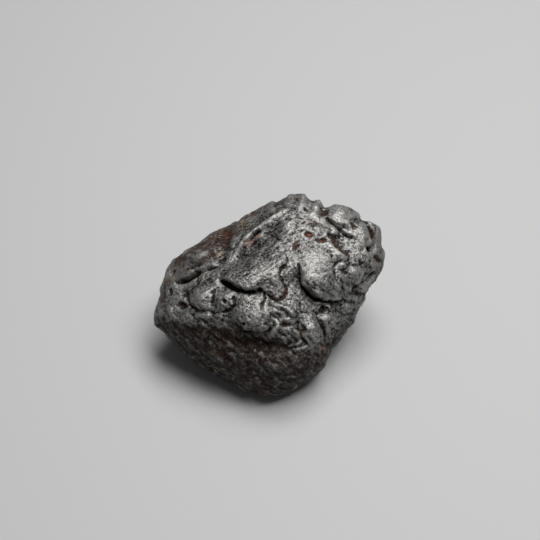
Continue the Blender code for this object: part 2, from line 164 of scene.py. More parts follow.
def block(directions):
    """Points of the rounded block along the directions."""
    total = np.zeros(len(directions))
    for heading, tilt, distance in FACES:
        share = np.maximum(directions @ face_normal(heading, tilt), 0) / distance
        total += share ** EDGE_CRISPNESS
    return directions * (total ** (-1 / EDGE_CRISPNESS))[:, None]


print("block of", len(FACES), "faces, from", min(face[2] for face in FACES), "mm off the middle")

# %% A ball of points pushed into the block
FULL_GRID = 128
GRID = FULL_GRID
FRONT_SHARE = 0.3


def start_grid():
    """A cube's grid pushed out to a ball, closer set on the side that shows: the mesh and its directions."""
    bm = bmesh.new()
    bmesh.ops.create_cube(bm, size=2.0)
    bmesh.ops.subdivide_edges(bm, edges=bm.edges[:], cuts=GRID - 1, use_grid_fill=True)
    mesh = bpy.data.meshes.new("meteorite_crust")
    bm.to_mesh(mesh)
    bm.free()
    corners = np.empty(len(mesh.vertices) * 3)
    mesh.vertices.foreach_get("co", corners)
    # The tangent sets the grid's lines at even angles, so that its squares are all of about one size.
    corners = np.tan(corners.reshape(-1, 3) * math.pi / 4)
    ball = corners[:, :1] * RIGHT + corners[:, 1:2] * UP + corners[:, 2:] * TOWARD
    ball /= np.linalg.norm(ball, axis=1)[:, None]
    ball += FRONT_SHARE * TOWARD
    ball /= np.linalg.norm(ball, axis=1)[:, None]
    return mesh, ball


crust_mesh, ball = start_grid()
block_points = block(ball)
print("grid of", len(block_points), "points, and a block of", np.ptp(block_points, axis=0).round(1), "mm")

# %% [markdown]
# ## The outline
#
# The outline is what the eye checks first, so it isn't left to chance: the block's points are drawn in or
# out across the sight line until their rim meets a short list of measured points. The first fits are smooth
# and reach deep. The last are sharp but stay near the rim, so that a notch in the outline doesn't plough a
# furrow across the whole face.
#
# The points are how far right and up the rim shows, in mm, clockwise from its left end.

# %% The outline to meet
OUTLINE = (
    (-29.1, -5), (-28.75, -2.5), (-27.75, 0.25), (-27.25, 3), (-26.75, 5), (-26, 7), (-24.5, 9.25),
    (-22.5, 10.75), (-20, 12), (-18, 13.25), (-16.25, 14.5), (-14.5, 15.75), (-12.5, 16.75), (-10, 17.75),
    (-8, 18.75), (-6.25, 20), (-4.25, 21.25), (-2, 22.5), (0, 23.5), (1.75, 23.75), (3.25, 24.75),
    (5, 25.5), (6.75, 25.5), (8.5, 25.5), (9.75, 24.5), (11, 24), (12.25, 24), (13.25, 23), (14, 22.5),
    (15.25, 22.75), (16.5, 23.25), (18, 23), (19.5, 22.5), (21, 21.5), (22, 20.75), (23, 19.5),
    (23.5, 19), (25, 19), (26.25, 18.25), (27.5, 17), (28.25, 15.5), (28.5, 13.75), (28.75, 12),
    (29, 9.25), (28.75, 7.25), (28, 5.25), (27, 3.5), (25.75, 1.75), (24.5, 0.25), (24, -1.25), (23, -3),
    (22, -4.75), (21, -6.75), (19.75, -8.5), (18.5, -10.25), (17, -12), (15.5, -13.75), (14.75, -15.75),
    (14, -17.75), (12.5, -19.5), (10.75, -20.75), (8.75, -22), (6.75, -23.25), (4.5, -24.25), (2, -25),
    (-0.5, -25.25), (-3, -25), (-6, -24), (-9, -22.5), (-12, -21), (-15, -19.25), (-18, -17.5),
    (-20.5, -15.75), (-22.5, -14), (-24, -12.5), (-25.25, -11.25), (-26.5, -10), (-27.75, -9),
    (-28.75, -7.25),
)
print("outline of", len(OUTLINE), "points")

# %% Fit the outline
RIM_SLOTS = 240
FITS = 2
DEEP_POWER = 2.0
DEEP_SPREAD = 5
RIM_POWER = 8.0


def blur(ring, spread):
    """A ring of values averaged over their neighbours on either side."""
    return np.mean([np.roll(ring, k) for k in range(-spread, spread + 1)], axis=0)


def fit_outline(points, power, spread=0):
    """Draw the points in or out across the sight line until they meet the outline."""
    right, up, depth = seen(points)
    turn = np.arctan2(up, right)
    reach = np.hypot(right, up)
    slot = ((turn + math.pi) / (2 * math.pi) * RIM_SLOTS).astype(int) % RIM_SLOTS
    now = np.zeros(RIM_SLOTS)
    np.maximum.at(now, slot, reach)
    # A slot that no point falls in takes the reach of the slot beside it.
    now = np.max([np.roll(now, k) for k in (-1, 0, 1)], axis=0)
    now = blur(now, 1)
    rim = np.array(OUTLINE, float)
    order = np.argsort(np.arctan2(rim[:, 1], rim[:, 0]))
    rim = rim[order]
    middles = (np.arange(RIM_SLOTS) + 0.5) / RIM_SLOTS * 2 * math.pi - math.pi
    rim_turn = np.arctan2(rim[:, 1], rim[:, 0])
    wanted = np.interp(middles, rim_turn, np.hypot(rim[:, 0], rim[:, 1]), period=2 * math.pi)
    change = wanted / now
    if spread:
        change = blur(blur(change, spread), spread)
    change = np.interp(turn, middles, change, period=2 * math.pi)
    edge = np.interp(turn, middles, now, period=2 * math.pi)
    grow = 1 + (change - 1) * np.minimum(reach / edge, 1) ** power
    return unseen(right * grow, up * grow, depth)


for _ in range(FITS):
    block_points = fit_outline(block_points, DEEP_POWER, DEEP_SPREAD)
for _ in range(FITS):
    block_points = fit_outline(block_points, RIM_POWER)
print("outline fitted, and the block is now", np.ptp(block_points, axis=0).round(1), "mm")

# %% [markdown]
# ## A skin to work
#
# From here on the stone is one skin that takes layers of height. A layer is filled by many small tools, then
# settled: every point moves along its own normal by its height, and the normals are made afresh. Tools find
# their place by a ray sent down the sight line, so a crack goes where it shows, whatever the depth there.
# The skin also carries stains, one number per point and name, which the finish reads at the end.

# %% The skin
# The dark stain holds painted shade as well as dark crust, and the sheen stain holds painted highlights.
STAIN_NAMES = ("rust", "orange", "tan", "dark", "sheen")
FAR_OUT = 100.0


class Skin:
    """The stone's surface while it is worked: points, normals, the layer being laid, and stains."""

    def __init__(self, mesh, points):
        self.mesh = mesh
        self.stains = {name: np.zeros(len(points)) for name in STAIN_NAMES}
        self.take(points)

    def take(self, points):
        """Take the points as the surface, and make its normals and its tree for rays afresh."""
        self.points = points
        self.height = np.zeros(len(points))
        self.mesh.vertices.foreach_set("co", points.ravel())
        self.mesh.update()
        normals = np.empty(len(points) * 3)
        self.mesh.vertex_normals.foreach_get("vector", normals)
        self.normals = normals.reshape(-1, 3)
        bm = bmesh.new()
        bm.from_mesh(self.mesh)
        self.tree = BVHTree.FromBMesh(bm)
        bm.free()

    def tell(self, name):
        """Print how far down and up the layer of height goes."""
        print(name, "laid from", self.height.min().round(2), "to", self.height.max().round(2), "mm")

    def settle(self, name):
        """Add the layer of height to the surface."""
        self.tell(name)
        self.take(self.points + self.normals * self.height[:, None])

    def hit(self, start, direction):
        """The place where a ray meets the surface, and the normal there, or None."""
        place, normal, _, _ = self.tree.ray_cast(Vector(start), Vector(direction).normalized())
        if place is None:
            return None
        return np.array(place), np.array(normal)

    def spot(self, right, up):
        """The place on the surface, and its normal, that shows at (right, up)."""
        return self.hit(EYE, right * RIGHT + up * UP - SIGHT_DISTANCE * TOWARD)

    def far_spot(self, direction):
        """The place met when coming straight in from a direction, and its normal."""
        return self.hit(direction * FAR_OUT, -direction)


skin = Skin(crust_mesh, block_points)
print("skin of", len(skin.points), "points")

# %% [markdown]
# ## Tools that follow a line
#
# Most marks on the crust are long and narrow: cracks, seams and the edges of flows. A tool for them has to
# know of each point of the skin how far it lies from the line, on which side, and how far along it. A line
# is given by a few points, and a spline through them rounds it, so that a curve needs no long list. The line
# is laid on the skin by rays, and distances are measured in space, so a mark keeps its width on a slope.

# %% A smooth line
LINE_STEP = 0.4


def curve(points):
    """A smooth line through the points, cut into short pieces."""
    line = np.array(points, float)
    line = np.vstack([2 * line[0] - line[1], line, 2 * line[-1] - line[-2]])
    out = []
    for i in range(1, len(line) - 2):
        a, b, c, d = line[i - 1:i + 3]
        pieces = max(1, int(np.linalg.norm(c - b) / LINE_STEP))
        for k in range(pieces):
            t = k / pieces
            slope = (c - a) * t
            bend = (2 * a - 5 * b + 4 * c - d) * t * t
            twist = (3 * b - a - 3 * c + d) * t ** 3
            out.append(0.5 * (2 * b + slope + bend + twist))
    out.append(line[-2])
    return out


print("a line of 10 mm is cut into", len(curve([(0, 0), (10, 0)])) - 1, "pieces")

# %% Distances from a line


def along(points, reach):
    """Surface points near a line: indices, distance from it, side (+1 on its left) and share along it."""
    spots = [skin.spot(right, up) for right, up in curve(points)]
    spots = [spot for spot in spots if spot]
    if len(spots) < 2:
        return np.zeros(0, int), np.zeros(0), np.zeros(0), np.zeros(0)
    path = np.array([spot[0] for spot in spots])
    low = path.min(0) - reach
    high = path.max(0) + reach
    near = np.nonzero(((skin.points > low) & (skin.points < high)).all(1))[0]
    places = skin.points[near]
    steps = np.diff(path, axis=0)
    lengths = np.linalg.norm(steps, axis=1)
    starts = np.concatenate([[0], np.cumsum(lengths)])
    distance = np.full(len(near), np.inf)
    side = np.zeros(len(near))
    share = np.zeros(len(near))
    for i, step in enumerate(steps):
        t = np.clip((places - path[i]) @ step / lengths[i] ** 2, 0, 1)
        away = places - path[i] - t[:, None] * step
        gap = np.linalg.norm(away, axis=1)
        closer = gap < distance
        left = np.cross(spots[i][1], step)
        distance = np.where(closer, gap, distance)
        side = np.where(closer, np.sign(away @ left), side)
        share = np.where(closer, (starts[i] + t * lengths[i]) / starts[-1], share)
    return near, distance, side, share


def fade(share, head, tail):
    """1 in the middle of a line, easing to 0 over its head and tail."""
    s = np.clip(share / head, 0, 1) * np.clip((1 - share) / tail, 0, 1)
    return s * s * (3 - 2 * s)


print("points within 1 mm of a line across the middle:", len(along([(-5, 0), (5, 0)], 1)[0]))

# %% [markdown]
# ## Tools that cut and raise
#
# Three tools work along a line: a crack is a narrow cut in a shallow trough, a ridge is a rounded seam, and
# a ledge lifts one side of the line and sinks the other. A fourth raises a swelling, or sinks a hollow,
# round one spot. All of them only add to the layer of height, so their order within a layer doesn't matter.
# The marks are kept in tables, by name, and one loop uses a tool on each mark of a table.

# %% Cracks and ridges
CRACK_REACH = 5
CUT_SHARPNESS = 1.3
TROUGH_WIDTH = 2.4
RIDGE_REACH = 3


def crack(points, width, depth, head=0.25, tail=0.25, shoulder=0.25):
    """A narrow cut in a broader trough, which takes the share of the depth that shoulder gives."""
    near, distance, _, share = along(points, width * CRACK_REACH)
    cut = np.exp(-(distance / width * CUT_SHARPNESS) ** 2)
    trough = np.exp(-(distance / width / TROUGH_WIDTH) ** 2)
    shape = (1 - shoulder) * cut + shoulder * trough
    skin.height[near] -= depth * shape * fade(share, head, tail)


def ridge(points, width, rise, head=0.25, tail=0.25):
    """A rounded seam."""
    near, distance, _, share = along(points, width * RIDGE_REACH)
    skin.height[near] += rise * np.exp(-(distance / width) ** 2) * fade(share, head, tail)


def each(tool, marks):
    """Use one tool on every named mark of a table."""
    for mark in marks.values():
        tool(*mark)


print("a crack reaches out", CRACK_REACH, "and a ridge", RIDGE_REACH, "times its width")

# %% Ledges
LEDGE_REACH = 2.5


def ledge(points, rise, lip, fall, reach, head=0.2, tail=0.2):
    """A rounded step: the surface stands up on the line's left and is sunk on its right."""
    near, distance, side, share = along(points, reach * LEDGE_REACH)
    across = distance * side
    inner = np.clip(across, 0, lip) / lip
    nose = np.sqrt(1 - (1 - inner) ** 2)
    back = np.exp(-((across - lip) / reach) ** 2)
    high = rise * np.where(across < lip, nose, back)
    low = -fall * np.exp(-(across / reach) ** 2)
    skin.height[near] += np.where(across >= 0, high, low) * fade(share, head, tail)


print("a ledge reaches out", LEDGE_REACH, "times its reach")

# %% Swellings and hollows


def swelling(place, normal, rx, ry, rise, turn=0):
    """A rounded swelling, or a hollow where the rise is negative, turned anticlockwise."""
    flat = RIGHT - (RIGHT @ normal) * normal
    flat /= np.linalg.norm(flat)
    other = np.cross(normal, flat)
    t = math.radians(turn)
    long_way = flat * math.cos(t) + other * math.sin(t)
    short_way = other * math.cos(t) - flat * math.sin(t)
    away = skin.points - place
    r2 = (away @ long_way / rx) ** 2 + (away @ short_way / ry) ** 2 + (away @ normal / max(rx, ry)) ** 2
    inside = r2 < 1
    skin.height[inside] += rise * (1 - r2[inside]) ** 2


def bump(right, up, rx, ry, rise, turn=0):
    """A swelling or hollow where (right, up) shows, with its half-widths, rise and turn."""
    spot = skin.spot(right, up)
    if spot:
        swelling(spot[0], spot[1], rx, ry, rise, turn)


print("the middle of the view shows the skin at", skin.spot(0, 0)[0].round(1), "mm")

# %% [markdown]
# ## Noise, streaks and patches
#
# Between its marks the crust is never smooth. Plain noise gives rolling waves. How far noise lies from zero
# gives rounded lumps with sharp creases between them, like slag that froze, and it looks less even when the
# points are first bent by more noise. Noise drawn out along one direction gives the lines of a flow. A patch
# is 1 at a spot and eases to 0 round it, to keep any of these to one place.

# %% Waves and lumps
WAVE_SHIFT = Vector((17.13, 9.71, 5.37))
LUMP_SHIFT = Vector((11.3, 3.9, 7.7))
BEND_SIZE = 0.7
BEND = 0.6


def waves(size, seed):
    """Noise that rolls to either side of 0, with waves of that size in mm."""
    shift = WAVE_SHIFT * seed
    return np.array([noise.noise(Vector(p) + shift) for p in skin.points / size])


def lumps(size, seed):
    """Rounded lumps with sharp creases between them, 0 in the creases and about 0.5 on the lumps."""
    shift = LUMP_SHIFT * seed
    out = np.zeros(len(skin.points))
    for i, p in enumerate(skin.points / size):
        v = Vector(p) + shift
        bend = noise.noise(v * BEND_SIZE)
        swirl = noise.noise(v.yzx * BEND_SIZE)
        out[i] = abs(noise.noise(v + Vector((bend, swirl, bend - swirl)) * BEND))
    return out


print("waves go up and down by about", round(float(waves(10, 1).std()), 2))

# %% Streaks and patches
STREAK_SHIFT = (13.7, 7.3)


def streaks(turn, long, short, seed):
    """Waves drawn out along a line turned anticlockwise from the right, as seen."""
    right, up, depth = seen(skin.points)
    t = math.radians(turn)
    a = (right * math.cos(t) + up * math.sin(t)) / long + seed * STREAK_SHIFT[0]
    b = (up * math.cos(t) - right * math.sin(t)) / short - seed * STREAK_SHIFT[1]
    return np.array([noise.noise(Vector(p)) for p in zip(a, b, depth / long)])


def patch(right, up, rx, ry, turn=0):
    """1 at a spot on the side that shows, easing to 0 at the patch's edge."""
    across, high, _ = seen(skin.points)
    t = math.radians(turn)
    x = across - right
    y = high - up
    r2 = ((x * math.cos(t) + y * math.sin(t)) / rx) ** 2 + ((y * math.cos(t) - x * math.sin(t)) / ry) ** 2
    facing = np.clip((skin.normals @ TOWARD) * 3 + 0.5, 0, 1)
    return (1 - np.minimum(r2, 1)) ** 2 * facing


print("a patch of 20 mm across the middle covers", int((patch(0, 0, 10, 10) > 0).sum()), "points")

# %% [markdown]
# ## Cushions and hollows
#
# The big forms are ones that could be felt with the eyes shut: a long cushion across the middle, a round one
# to its right, smaller ones along the left and below, and a deep hollow across the dark lower front. They're
# raised before any edge is cut, because an edge has to ride over them.

# %% Raise the big forms
BROAD_WAVES = 0.8
BROAD_WAVE_SIZE = 12

# Each form: how far right and up it shows, its half-widths and its rise in mm, and its turn in degrees.
BIG_FORMS = {
    "middle cushion": (-2.5, 5.25, 11, 6.5, 1.6, 25),
    "right cushion": (13, 7.75, 9, 8.5, 1.4),
    "upper right lobe": (18.75, 20, 6.5, 4.5, 1.0, -30),
    "upper left swelling": (-17.5, 10.75, 6.5, 5, 1.0, 40),
    "left cushion": (-16.5, -0.75, 5.5, 5, 1.1),
    "pitted lump": (-11, -1.25, 3.75, 4, 0.6),
    "lobe under the ledge": (-5, -4.25, 5.5, 5, 1.2),
    "small middle lobe": (3.5, -2.75, 4.5, 3, 0.6),
    "lower right lobe": (10.5, -9.5, 4.5, 5.5, 1.3),
    "hollow across the front": (-2, -12.75, 10, 3.25, -1.8),
    "low bulge": (3.5, -17.25, 8.5, 4, 1.2),
    "lower left hollow": (-11.25, -11.25, 6.5, 3.5, -0.8),
    "lower left swelling": (-13.75, -15.75, 6, 3, 0.6, -30),
    "sunken plate": (18.25, 13, 4.5, 3.75, -0.9, -30),
    "swelling by the right rim": (20, 4.75, 5.5, 4.5, 0.7, 20),
    "swelling by the left rim": (-21.5, -6.75, 4, 3, 0.6),
}

# Each trough: the points along it, its half-width and its depth.
TROUGHS = {
    "beside the spine": ([(-11.5, 6), (-8.5, 9.75), (-5, 12.5), (-0.5, 15.75), (3.5, 19.5)], 2.6, 1.3),
    "left of the middle cushion": ([(-10, 17), (-11, 13.75), (-12, 9.75), (-12, 6.75)], 1.6, 1.0),
}

skin.height += BROAD_WAVES * waves(BROAD_WAVE_SIZE, 1)
each(bump, BIG_FORMS)
each(crack, TROUGHS)
skin.settle("broad forms")

# %% [markdown]
# ## Scoops over the sides and back
#
# The air that streams past a falling iron scoops shallow hollows out of it, all of about one size. They're
# spread evenly round the sides and back by the golden angle, as seeds are in a sunflower, which leaves
# neither rows nor gaps.

# %% Scoop the sides and back
SCOOPS = 15
SCOOP_DEPTH = 1.5
SCOOP_SIZE = 9
SIZE_SWING = 2
LOWEST_SCOOP = -0.75


def scoops():
    golden = math.pi * (3 - math.sqrt(5))
    for i in range(SCOOPS):
        depth = -0.05 - 0.9 * i / (SCOOPS - 1)
        wide = math.sqrt(1 - depth * depth)
        turn = golden * i + 0.4
        way = wide * (math.cos(turn) * RIGHT + math.sin(turn) * UP) + depth * TOWARD
        if way[2] < LOWEST_SCOOP:
            continue
        place, normal = skin.far_spot(way)
        size = SCOOP_SIZE + SIZE_SWING * math.sin(2.1 * i)
        swelling(place, normal, size, size * 0.8, -SCOOP_DEPTH, 50 * i)


scoops()
skin.settle("scoops")

# %% [markdown]
# ## Ledges and cracks
#
# Where one flow of the skin froze over another there is a ledge: a rounded nose on the upper side, and a
# hollow with a narrow dark crack under it. A ledge is therefore two tools along one line, a broad step and a
# thin cut. Cracks that have no step are only the thin cut, and the raised seams between them are ridges.

# %% The long ledge under the middle cushion
MIDDLE_EDGE = [(-13.25, 4.5), (-11.75, 3.5), (-10.25, 2.5), (-8.5, 1.75), (-6.75, 1.12), (-5, 0.88),
               (-3.25, 0.88), (-1.5, 1)]
NOSE_CREASE = [(-1.5, 1), (-0.25, -0.25), (1.25, -1), (2.75, -0.5), (4, 0.75), (4, 2.25), (3.25, 3.5),
               (2.5, 4.75), (2.75, 6.25), (3.75, 7.5), (4.25, 9), (4, 10.75)]
NOSE_CRACKS = {
    "under the nose": ([(0.25, -2), (2, -1.25), (3.5, -0.25), (4.75, 0.25)], 0.3, 0.6),
    "notch below the ledge": ([(-1.5, 1), (-1.25, -0.75), (-2, -2.5), (-1.75, -4.5)], 0.45, 0.8, 0.1, 0.3),
    "right of the crease": ([(7, 8.25), (7.25, 6.25), (7, 4.75)], 0.35, 0.5),
}

ledge(MIDDLE_EDGE, rise=1.0, lip=0.9, fall=0.7, reach=2.6)
crack(MIDDLE_EDGE, width=0.6, depth=2.3, head=0.15, tail=0.08, shoulder=0.1)
ledge(NOSE_CREASE, rise=0.35, lip=1.6, fall=0.25, reach=1.6)
crack(NOSE_CREASE, width=0.3, depth=0.6, head=0.1, tail=0.2)
each(crack, NOSE_CRACKS)
skin.tell("middle ledge")

# %% The overhanging edge under the right cushion
RIGHT_EDGE = [(7.75, 7.75), (7.5, 5.25), (8, 3), (9, 1.75), (10.25, 0.5), (11.75, -0.5), (13.5, -1.25),
              (15.25, -1.5), (17, -1.5), (19, -0.75)]
RIM_GROOVE = [(26.5, 6.25), (25.25, 4.25), (23.75, 2.75), (22, 1.5), (20, 0.25)]
RIM_SEAM = [(26.25, 8.5), (27, 6.25), (25.5, 3.75), (23.75, 1.75), (21.75, 0)]

ledge(RIGHT_EDGE, rise=0.8, lip=2.4, fall=2.0, reach=3.4, head=0.25, tail=0.35)
crack(RIGHT_EDGE, width=0.55, depth=1.7, head=0.5, tail=0.3)
crack(RIM_GROOVE, width=0.8, depth=2.2, head=0.2, tail=0.3)
ridge(RIM_SEAM, width=0.55, rise=0.5)
skin.tell("right ledge")

# %% The left crack and cushion
LEFT_EDGE = [(-24, 3), (-22.5, 3.38), (-21, 3.88), (-19.75, 4.62), (-18.25, 5.5), (-17, 6), (-15.5, 6.62),
             (-14, 7.12), (-12, 8)]
LEFT_LUMPS = {
    "swelling over the crack": (-18.5, 8.5, 6.5, 2.4, 0.8, 35),
    "cushion": (-17.5, -0.25, 4.2, 4.2, 0.55),
    "pitted lump": (-11.5, -1, 2.8, 3.2, 0.4),
}
CRESCENT = [(-20.75, 2), (-21, 0), (-20.5, -1.75), (-19.5, -3.25), (-18, -4), (-16.25, -4), (-14.75, -3.25)]
LUMP_CREASE = [(-9.75, 0.25), (-9, -1.25), (-9.25, -2.75), (-10.5, -4), (-12.75, -4.5)]
LEFT_CRACKS = {
    "crescent round the cushion": (CRESCENT, 0.4, 0.65),
    "cushion's right side": ([(-14, 2), (-14.25, 0), (-14.5, -2), (-14.75, -3.25)], 0.45, 0.5),
    "round the pitted lump": (LUMP_CREASE, 0.4, 0.8),
}
LEFT_RIDGES = {
    "seam under the crescent": ([(-19.25, -4.88), (-16.75, -5.25), (-14, -5)], 0.9, 0.6),
    "seam by the rim": ([(-24.75, -2.25), (-24.75, -4.25), (-23.75, -5.75), (-22.25, -6.25)], 0.6, 0.6),
}
LEFT_PITS = {
    "long dent by the rim": (-22.25, -2.75, 2.4, 1.2, -0.9, -10),
    "above the crack's end": (-23.75, 5.5, 1.5, 1.25, -1.2),
    "on the rim": (-25, 0.75, 1.0, 1.2, -0.7),
    "in the pitted lump": (-11.5, -1.5, 0.7, 1.0, -0.8, 60),
    "lower of two": (-6.5, -7, 0.6, 0.6, -0.7),
    "upper of two": (-7, -5.5, 0.5, 0.6, -0.5),
}

ledge(LEFT_EDGE, rise=0.3, lip=1.2, fall=0.6, reach=4.0)
crack(LEFT_EDGE, width=0.45, depth=2.4, head=0.1, tail=0.5, shoulder=0.1)
each(bump, LEFT_LUMPS)
each(crack, LEFT_CRACKS)
each(ridge, LEFT_RIDGES)
each(bump, LEFT_PITS)
skin.tell("left crack and cushion")

# %% [markdown]
# ## The upper right lobe and the sunken plate
#
# At the upper right a lobe is cut off by one straight crack, with a plate sunk below it and a deep groove
# behind it. The plate's edge is the same ledge tool with a negative rise, which sinks the line's left side.

# %% The upper right lobe and the sunken plate
LOBE_EDGE = [(13.75, 19.75), (15, 18.5), (16.5, 17.25), (18, 16), (19.25, 15), (20.75, 14.25), (22.5, 13.5)]
PLATE_EDGE = [(14.5, 16.5), (14.25, 15.25), (15.25, 13.5), (16, 12), (17, 10.75), (18.75, 9.75),
              (20.75, 9.25)]
LOBE_GROOVE = [(23, 18.75), (24.5, 17.75), (25.25, 16.5), (25.75, 14.75), (26, 13), (25.5, 11.75),
               (24, 11.25)]
PLATE_RIDGES = {
    "upper seam": ([(15.25, 16.5), (13.5, 15), (12, 13.25)], 0.6, 0.5),
    "lower seam": ([(13, 13.75), (15.25, 12), (17.5, 10), (19.75, 9.25)], 0.6, 0.5),
}
LOBE_FORMS = {
    "pit in the groove": (25.25, 11.5, 1.4, 1.0, -1.3),
    "swelling in the plate": (22.75, 15.5, 2.2, 2.5, 0.5),
}
LOBE_CRACKS = {
    "notch left of the lobe": ([(14.25, 22.75), (13.75, 21.25), (14, 19.75)], 0.5, 0.9, 0.05, 0.3),
    "across the lobe": ([(19.75, 19), (21.5, 19), (23, 19)], 0.25, 0.5),
    "down the lobe": ([(20, 18), (21.25, 17.5), (22, 16.5)], 0.3, 0.6),
}

ledge(LOBE_EDGE, rise=0.4, lip=1.4, fall=0.4, reach=2.0)
crack(LOBE_EDGE, width=0.27, depth=1.6, head=0.12, tail=0.4, shoulder=0.05)
ledge(PLATE_EDGE, rise=-0.7, lip=0.8, fall=-0.4, reach=1.6)
each(ridge, PLATE_RIDGES)
crack(LOBE_GROOVE, width=0.55, depth=2.2, head=0.2, tail=0.05)
each(bump, LOBE_FORMS)
each(crack, LOBE_CRACKS)
skin.tell("upper right lobe")

# %% [markdown]
# ## The spine, the right creases and the lower lobes
#
# A low spine runs up the left of the middle, with a groove on top of it that holds rust. To the right and
# below, the skin is crowded with small lobes, and what parts them are creases, short seams and small holes.

# %% The spine at the upper left
SPINE = [(-9.5, 8.25), (-8.5, 10.5), (-7.25, 12.5), (-5.5, 14.5), (-4, 15.75), (-2, 17.25), (0, 18.75),
         (2.5, 20.5), (5.25, 22.5)]
SPINE_GROOVE = [(-7, 13), (-5.25, 14), (-3.75, 15.25), (-2.25, 16.25)]
SPINE_FOOT = [(-8, 8.25), (-6.5, 11), (-4.5, 12.5), (-2, 14)]

ridge(SPINE, width=0.7, rise=0.7)
crack(SPINE_GROOVE, width=0.4, depth=1.8, head=0.1, tail=0.1, shoulder=0.1)
crack(SPINE_FOOT, width=0.9, depth=0.5)
skin.tell("spine")

# %% The creases at the right
RIGHT_CREASES = {
    "down from the plate": ([(18.75, 9), (16.75, 8), (16, 6.25), (16.5, 3.75), (17.5, 2.25)], 0.4, 0.35),
    "out to the rim": ([(19, 9.5), (20.5, 7.5), (22, 7.5), (23.5, 8.25)], 0.35, 0.5),
    "on the rim": ([(25.5, 10), (26.5, 8.5), (27.5, 8.25)], 0.3, 0.5),
}
RIGHT_LUMPS = {
    "small lump": (18, 7.5, 1.5, 1.2, 0.5),
    "lump by the rim": (21.5, 5.25, 3.0, 2.6, 0.5),
}

each(crack, RIGHT_CREASES)
each(bump, RIGHT_LUMPS)
skin.tell("right creases")

# %% The lower lobes
LOWER_EDGE = [(-8.5, -7.5), (-6, -8.75), (-3.5, -9), (-1.25, -8.75), (0.5, -7.75)]
LOWER_RIDGES = {
    "upper fold": ([(0, -2.25), (2.5, -2.75), (5, -3.75), (6.5, -5.5)], 0.5, 0.35),
    "lower fold": ([(-0.5, -4), (1.5, -4.25), (3.25, -5.5), (4, -7)], 0.5, 0.3),
    "long fold down to the front": ([(4, -5.25), (1.75, -7.75), (0.25, -10), (-1.25, -12.25)], 0.8, 0.7),
    "first wrinkle on the bulge": ([(4.25, -13), (6.25, -12.25), (8.5, -11.5)], 0.4, 0.4),
    "second wrinkle on the bulge": ([(5, -14), (7.5, -13.25), (9.75, -12.5)], 0.4, 0.4),
    "over the hole": ([(11.75, -2), (13.75, -2), (15.25, -3), (15.75, -4.25)], 0.45, 0.7),
    "upper flake at the right": ([(15.75, -11.5), (16.75, -9.25)], 0.35, 0.5),
    "middle flake at the right": ([(14.25, -13.25), (15.25, -11.5)], 0.35, 0.5),
    "lower flake at the right": ([(11.75, -17.75), (13.5, -15.25)], 0.5, 0.6),
    "short seam at the left": ([(-17.5, -6.75), (-15.5, -8)], 0.4, 0.4),
    "seam into the hollow": ([(-8.75, -9.75), (-6, -12.25)], 0.35, 0.5),
}
LOWER_CRACKS = {
    "between the folds": ([(0.5, -5.25), (2, -6.25), (2.75, -8)], 0.4, 0.5),
    "right of the lobe": ([(12, -3.25), (12.5, -5.75), (13.5, -8), (14, -10.25), (13.5, -12.75)], 0.5, 1.0),
    "left of the lobe": ([(7.5, -5.5), (7, -8), (7.75, -10.25), (9, -12.5)], 0.5, 0.7),
}
LOWER_FORMS = {
    "lobe": (10.5, -9.5, 3.0, 4.5, 0.4),
    "hole": (14, -4, 1.6, 1.2, -1.6),
    "lump under the hole": (14.5, -5.75, 2.4, 1.3, 0.8),
    "lump by the rim": (18.75, -2.75, 1.8, 1.4, 0.6),
    "upper dent": (4, -7.5, 1.75, 1.3, -1.0),
    "lower dent": (3.5, -10.25, 1.3, 1.1, -0.8),
    "dent in the lobe": (8.25, -8.75, 1.0, 2.0, -0.7),
    "knob on the bulge": (1.25, -17.5, 1.3, 1.0, 0.7),
    "knob at the bottom": (-3.25, -20.75, 0.9, 0.6, 0.6, -40),
}

ledge(LOWER_EDGE, rise=0.7, lip=1.6, fall=1.0, reach=3.0)
each(ridge, LOWER_RIDGES)
each(crack, LOWER_CRACKS)
each(bump, LOWER_FORMS)
skin.settle("ledges and cracks")

# %% [markdown]
# ## Small marks
#
# Pits and dents sit on top of everything else, so they come in a layer of their own.

# %% Pits
PITS = {
    "rusty, left of the plate": (9.75, 15.25, 1.5, 1.1, -0.7),
    "rusty, by the plate's seam": (13, 13.75, 1.75, 0.8, -0.7),
    "near the top": (9, 21.5, 0.8, 0.8, -0.8),
    "knob near the top": (11.75, 22, 1.6, 1.4, 0.6),
    "small, near the top": (8, 19.25, 0.6, 0.5, -0.4),
    "under the lobe's edge": (18.5, 16.75, 2.2, 1.5, -0.4),
    "in the right cushion": (15.5, 9.75, 0.4, 0.6, -0.4),
    "long, above the middle": (6.5, 12.25, 1.0, 1.8, -0.5, -30),
}
SHORT_CRACKS = {
    "hook above the spine": ([(3.5, 18.75), (4.5, 19.12), (5.25, 18.5)], 0.25, 0.6),
    "nick right of it": ([(7.75, 17.75), (9, 18.5)], 0.25, 0.4),
    "in the rim behind the lobe": ([(25.5, 18), (26.25, 17), (26, 15.5)], 0.3, 0.5),
}

each(bump, PITS)
each(crack, SHORT_CRACKS)
skin.tell("pits")

# %% [markdown]
# ## Wrinkles and lumps
#
# Three stretches of the crust are drawn into fine wrinkles, each along its own flow. Over all of it lie
# frozen lumps, gentler where the air polished the side that shows and stronger on the sides and back. The
# flat spot's face is left out, so that it stays flat. These layers push the rim about, so the outline is
# fitted once more after them, close to the rim alone.

# %% Wrinkles and lumps
FRONT_LUMPS = 0.45
FAR_LUMPS = 1.0
LUMP_SIZE = 5.5
SMALL_LUMPS = 0.35
LOW_LUMPS = 0.3
SMALL_LUMP_SIZE = 3.6
LUMP_MIDDLE = 0.2
LAST_RIM_POWER = 6.0

